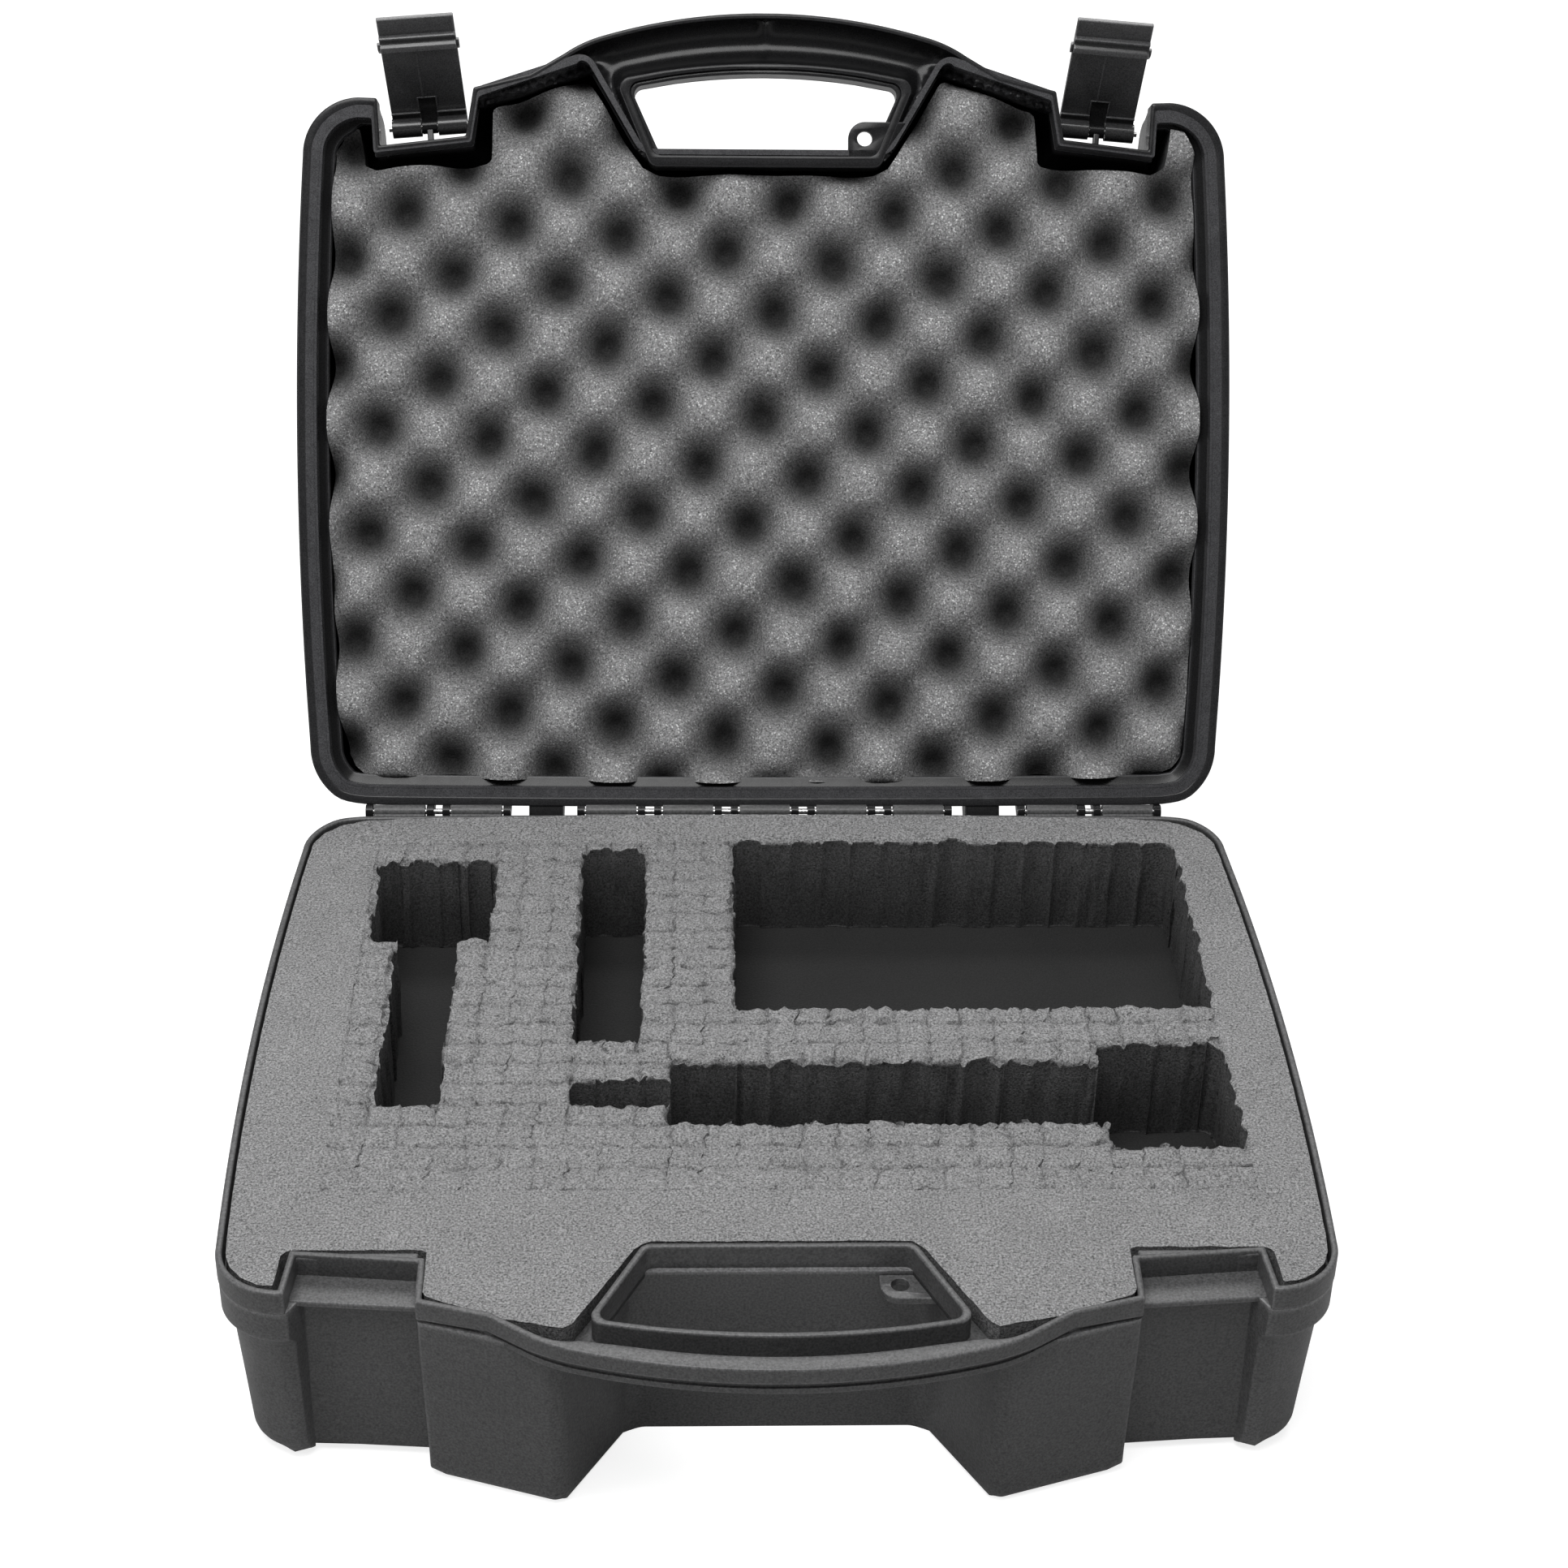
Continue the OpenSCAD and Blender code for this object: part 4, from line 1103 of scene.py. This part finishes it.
def diced_top(x, y):
    """Foam surface and the painted shade of its scored lines and of the pockets' edges.

    A low crown, cells domed and tilted at random and lumpy as torn foam is,
    lines between them that open and close along their length, and edges that
    roll over at the pockets.
    """
    crown = 2.9 * np.clip(1 - (y + 2) / -60.0, 0, 1) ** 2 * np.clip(1 - (x / 190) ** 2, 0, 1) - 0.9
    cx, cy = (x - GRID_X) / CELL, (y + GRID_T) / CELL
    ix, iy = np.floor(cx), np.floor(cy)
    fx, fy = cx - ix, cy - iy
    nx, ny = np.minimum(fx, 1 - fx) * CELL, np.minimum(fy, 1 - fy) * CELL
    area = diced_area(x, y)
    pocket = pocket_distance(x, y)
    loose = np.exp(-pocket / 15.0)
    along_x = np.clip(0.3 + 0.45 * noise2(x, y, 51, 11.0) + 0.4 * loose, 0.05, 1.0)
    along_y = np.clip(-0.2 + 0.42 * noise2(x, y, 52, 7.0) + 0.62 * loose ** 1.3, 0.0, 0.9)
    along_y = along_y * np.clip((x + 165.0) / 3.0, 0, 1) * np.clip((gx(23) - 3.0 - x) / 3.0, 0, 1)
    along_x = along_x * np.clip((x + 168.0) / 9.0, 0.15, 1) * np.clip((y + 256.0) / 12.0, 0.25, 1)
    line = np.maximum(np.exp(-(ny / 0.5) ** 2) * along_x, np.exp(-(nx / 0.5) ** 2) * along_y)
    line = line + 0.5 * np.exp(-(nx ** 2 + ny ** 2) / 1.4)
    near = np.minimum(nx / np.maximum(along_y, 0.2), ny / np.maximum(along_x, 0.2))
    soft = np.exp(-(near / 2.2) ** 2)
    dome = (1 - (2 * fx - 1) ** 4) * (1 - (2 * fy - 1) ** 4) * (0.1 + 0.75 * loose)
    cell = hashed(ix, iy, 12.9898, 78.233, 43758.5453)
    slope = hashed(ix, iy, 39.425, 11.135, 24634.6345)
    lift = (0.35 + 1.3 * loose) * (cell * 0.6 + slope * (fy - 0.5) - cell * (fx - 0.5))
    lift = lift * (1 - np.exp(-(np.minimum(nx, ny) / 0.9) ** 2))
    lump = noise2(x, y, 61, 4.6) * (0.2 + 0.36 * loose)
    rolled = -1.7 * np.exp(-(pocket / 1.5) ** 2)
    z = crown + area * (dome - 0.8 * line - 0.3 * soft + lift + lump) + rolled
    z = z + 0.07 * noise2(x, y, 9, 3.0) + 0.12 * noise2(x, y, 11, 14.0)
    # Painted shade: darker in the scored lines, beside them and at the pockets' edges, lighter on
    # the lumps
    dark = area * (0.26 * line + 0.04 * soft) + 0.1 * np.exp(-pocket / 1.0)
    return np.minimum(z, 1.9), np.clip(dark - 0.05 * lump, 0, 0.8)


def base_foam_outline():
    """The rim's outline moved in, cut back in front of the handle and round the wells."""
    right = np.array([
        (0.5, -282.6), (47.2, -282.6), (52.0, -287.0), (72.5, -325.0), (75.5, -327.2),
        (101.5, -321.4), (113.7, -315.4), (123.6, -311.5), (125.4, -309.5), (125.6, -286.6),
        (174.8, -286.6), (177.2, -289.0), (178.0, -305.2), (183.5, -304.6), (189.5, -301.0),
        (194.3, -295.4), (196.6, -289.0)])
    side = np.array([(side_x(t) - 3.6, -t) for t in np.arange(280, 32, -8.0)])
    rear = np.array([(195.0, -24), (191, -16.0), (184.0, -10.0), (176, -7.0), (160, -5.8)]
                    + [(x, -4.9 - 0.9 * x / 160) for x in np.arange(150, 0, -12.0)])
    return both_halves(np.vstack([right, side, rear]))


TUB_LOW, TUB_MID = tub_inside(10.5, 2.0), tub_inside(41, 0.8)
# Undersides of the diced foam: under the rim, on the web, and in the tub
ON_WEB, IN_TUB = -10.1, -46.0


def make_base_foam():
    """The diced foam, whose pockets' walls swell on their way down, and the bed under it."""
    offsets = [0, 0.35, 0.95, 2.2, 4.1, 6.35, 8.6, 10.5, 11.75, 12.35]
    xs = lines(-203, 203, GRID_X, CELL, offsets)
    ys = lines(-330, -2, -GRID_T, CELL, offsets)
    holes = [wavy(p, 1.6, 20 + i) for i, p in enumerate(POCKETS)]
    cut = cut_sheet(xs, ys, [base_foam_outline()] + holes, diced_warp)
    p, flat, _, _, on_rim, owner, away = cut
    top, dark = diced_top(flat[:, 0], flat[:, 1])
    edge, z, outer = p[on_rim], top[on_rim], owner == 0
    deep = np.where((outer & ~inside(edge, TUB_MID))[:, None], nearest(edge, TUB_MID), edge)
    # Painted shade on the walls: the outer walls darken on their way down, and the pockets' walls
    # are darker still
    rings, shades = [], [dark]
    for s in (0.03, 0.1, 0.22, 0.4, 0.6, 0.8, 1.0):
        swell = noise2(edge[:, 0], edge[:, 1] + 50 * s, 31, 8.0)
        swell = 0.45 * min(1, s * 25) + 0.4 * np.sin(np.pi * s) * swell
        places = edge + away * np.where(outer, 0.3 * min(1, s * 20), swell)[:, None]
        height = np.where(outer, z * (1 - s) - 9.9 * s, z * (1 - s) - 45 * s)
        rings.append((places, height))
        shades.append(np.where(outer, 0.1 + 0.5 * s, min(0.52 + 0.32 * s ** 0.6, 0.82)))
    for height in (IN_TUB + 0.5, IN_TUB):
        rings.append((np.where(outer[:, None], deep, rings[6][0]),
                      np.where(outer, ON_WEB if height > IN_TUB else IN_TUB, height)))
        # Painted shade at the foot of the walls
        shades.append(np.full(len(on_rim), 0.8))
    obj = piece("diced_foam", [foam_sheet(cut, top, rings)], place_base, "base", "base_foam",
                BASE_FOAM, "foam_base_diced", angle=60, values={"shade": np.concatenate(shades)})
    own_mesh(obj)
    # The bed is near black, as painted shade in the pockets' floors
    bed = slab([TUB_LOW], 3.4 - BASE_H, -46.2, 0.8, 0.8)
    pad = piece("foam_bed", [bed], place_base, "base", "base_foam", PAD_FOAM, "foam_base_pad")


# The hollows' lattice: its turn, its pitch and the middle of one hollow
CRATE_TURN, CRATE_PITCH, CRATE_AT = np.radians(38.2), 33.5, (19.7, 145.8)


def crate(x, y):
    """Depth of the egg-crate surface and how far down its hollows a point lies, 0 to 1.

    Round hollows on a turned square lattice: with c the mean of the cosines
    of the two lattice phases, the share is ((1 + c) / 2) to the power 1.5.
    """
    p, q = x - CRATE_AT[0], -y - CRATE_AT[1]
    p = p + 0.5 * noise2(x, y, 71, 60.0)
    q = q + 0.5 * noise2(x, y, 72, 60.0)
    u = (p * np.cos(CRATE_TURN) + q * np.sin(CRATE_TURN)) * 2 * np.pi / CRATE_PITCH
    v = (q * np.cos(CRATE_TURN) - p * np.sin(CRATE_TURN)) * 2 * np.pi / CRATE_PITCH
    s = (0.5 + 0.25 * (np.cos(u) + np.cos(v))) ** 1.5
    return 2.6 + 18.5 * s + 0.2 * noise2(x, y, 3, 12.0) + 0.1 * noise2(x, y, 4, 3.0), s


def lid_foam_outline():
    """The lid foam's edge, which waves with the hollows, as a sheet cut through them springs."""
    right = np.array([
        (0.5, -278.6), (47.5, -278.6), (53.5, -281.0), (57.0, -286.0), (76.5, -318.8),
        (79.0, -320.0), (100.0, -313.2), (116.5, -307.6), (118.6, -305.5), (119.6, -284.6),
        (121.4, -283.4), (170.0, -280.0), (175.5, -283.0), (177.5, -299.0), (183.0, -297.5),
        (188.0, -289.0)])
    side = np.array([(side_x(t) - 13.2, -t) for t in np.arange(280, 40, -6.0)])
    rear = np.array([(186.2, -33), (184.9, -24.0), (181.2, -19.0), (176.0, -15.8), (166, -15.0)]
                    + [(x, -12.6 - 2.8 * (x / 160) ** 2) for x in np.arange(158, 0, -6.0)])
    loop = both_halves(np.vstack([right, side, rear]))
    fine = []
    for a, b in zip(loop, np.roll(loop, -1, 0)):
        k = max(1, int(np.linalg.norm(b - a) / 3))
        fine.append(a + (b - a) * np.linspace(0, 1, k, endpoint=False)[:, None])
    loop = np.vstack(fine)
    n = sum(turns(loop))
    n = unit(np.c_[-n[:, 1], n[:, 0]])
    s = crate(loop[:, 0], loop[:, 1])[1]
    free = (loop[:, 1] > -276) | (np.abs(loop[:, 0]) > 181)
    return loop + n * (1.8 * (s - 0.3) * free)[:, None]


def make_lid_foam():
    """The egg-crate foam, its top down in the lid."""
    step = 1.6
    cut = cut_sheet(np.arange(-192, 192.1, step), np.arange(-322, -10, step),
                    [lid_foam_outline()])
    p, _, _, _, on_rim, _, away = cut
    depth, s = crate(p[:, 0], p[:, 1])
    edge, z = p[on_rim], -depth[on_rim]
    # Painted shade: darker down the hollows, and down the edge's wall
    rings, shades = [], [np.clip(1.02 * s ** 0.9, 0, 0.92)]
    for k in (0.03, 0.1, 0.3, 1.0):
        rings.append((edge + away * 0.4 * min(1, k * 12), z * (1 - k) - 37.4 * k))
        shades.append(np.clip(0.9 * s[on_rim] + 0.3 + 0.5 * k, 0, 0.9))
    obj = piece("crate_foam", [turned_over(foam_sheet(cut, -depth, rings))], place_lid, "lid",
                "lid_foam", LID_FOAM, "foam_lid", angle=60,
                values={"shade": np.concatenate(shades)})


# ------------------------------------------------------------------- scene

def make_camera():
    """The photograph's camera on a 36 mm square, yawed, pitched and rolled as fitted."""
    focal_px, photo_px = 3604.8, 1932
    yaw, pitch, roll = -0.03384, np.radians(32.27), 0.01835
    cam = bpy.data.cameras.new("camera")
    cam.sensor_width = 36.0
    cam.lens = focal_px / photo_px * cam.sensor_width
    obj = added("camera", cam)
    ahead = np.array([-np.sin(yaw), np.cos(yaw), 0.0])
    right = np.array([np.cos(yaw), np.sin(yaw), 0.0])
    look = ahead * np.cos(pitch) - np.array([0, 0, 1]) * np.sin(pitch)
    up = ahead * np.sin(pitch) + np.array([0, 0, 1]) * np.cos(pitch)
    m = np.eye(4)
    m[:3, 0] = right * np.cos(roll) + up * np.sin(roll)
    m[:3, 1] = up * np.cos(roll) - right * np.sin(roll)
    m[:3, 2] = -look
    m[:3, 3] = place_base(np.array([-28.34, -1081.34, 697.49]))
    obj.matrix_world = Matrix(m.tolist())
    bpy.context.scene.camera = obj


def area_light(name, place, aim, size, power):
    """A soft rectangular lamp aimed at a point."""
    light = bpy.data.lights.new(name, "AREA")
    light.shape = "RECTANGLE"
    light.size, light.size_y = size
    light.energy = power
    obj = added(name, light)
    obj.location = place
    obj.rotation_euler = (Vector(aim) - Vector(place)).to_track_quat("-Z", "Y").to_euler()


# Half the floor's width, its own glow for the camera, and the world's light on the object
FLOOR_HALF, FLOOR_GLOW, SKY_LIGHT = 6.0, 0.79, 0.16
# Name, place, aim, size and power of each lamp
LAMPS = [("key", (-0.3, -0.5, 2.0), (0, 0.05, 0.1), (1.4, 1.0), 30),
         ("back", (0.0, 1.3, 1.9), (0, -0.05, 0.1), (1.8, 0.8), 23),
         ("left", (-1.7, -0.7, 0.9), (0, 0, 0.15), (0.5, 1.2), 6.5),
         ("right", (1.8, -0.6, 0.9), (0, 0, 0.15), (0.5, 1.2), 3.5)]


def make_stage():
    """A white floor that keeps a faint shadow, a world white to the camera, and soft lamps."""
    mesh = bpy.data.meshes.new("floor")
    corners = FLOOR_HALF * np.array([(-1, -1, 0), (1, -1, 0), (1, 1, 0), (-1, 1, 0)])
    mesh.from_pydata(corners.tolist(), [], [(0, 1, 2, 3)])
    floor = added("floor", mesh)
    mat = bpy.data.materials.new("floor_white")
    mat.use_nodes = True
    tree = mat.node_tree
    shader = tree.nodes["Principled BSDF"]
    shader.inputs["Base Color"].default_value = (0.5, 0.5, 0.5, 1)
    shader.inputs["Roughness"].default_value = 0.9
    path = tree.nodes.new("ShaderNodeLightPath")
    emit = tree.nodes.new("ShaderNodeEmission")
    tree.links.new(math(tree, "MULTIPLY", path.outputs["Is Camera Ray"], FLOOR_GLOW),
                   emit.inputs["Strength"])
    add = tree.nodes.new("ShaderNodeAddShader")
    tree.links.new(shader.outputs[0], add.inputs[0])
    tree.links.new(emit.outputs[0], add.inputs[1])
    tree.links.new(add.outputs[0], tree.nodes["Material Output"].inputs["Surface"])
    mesh.materials.append(mat)
    world = bpy.data.worlds.new("world")
    bpy.context.scene.world = world
    world.use_nodes = True
    tree = world.node_tree
    background = tree.nodes["Background"]
    background.inputs["Color"].default_value = (1, 1, 1, 1)
    path = tree.nodes.new("ShaderNodeLightPath")
    seen = math(tree, "MAXIMUM", path.outputs["Is Camera Ray"], path.outputs["Is Transmission Ray"])
    tree.links.new(math(tree, "MULTIPLY_ADD", seen, 1 - SKY_LIGHT, SKY_LIGHT),
                   background.inputs["Strength"])
    for lamp in LAMPS:
        area_light(*lamp)
    bpy.context.scene.view_settings.view_transform = "Standard"


make_camera()
make_stage()
make_base_shell()
make_lid_shell()
make_base_foam()
make_lid_foam()
make_latches()
for name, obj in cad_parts.items():
    if "pin" in name:
        obj.data.materials.clear()
        obj.data.materials.append(PIN_STEEL)
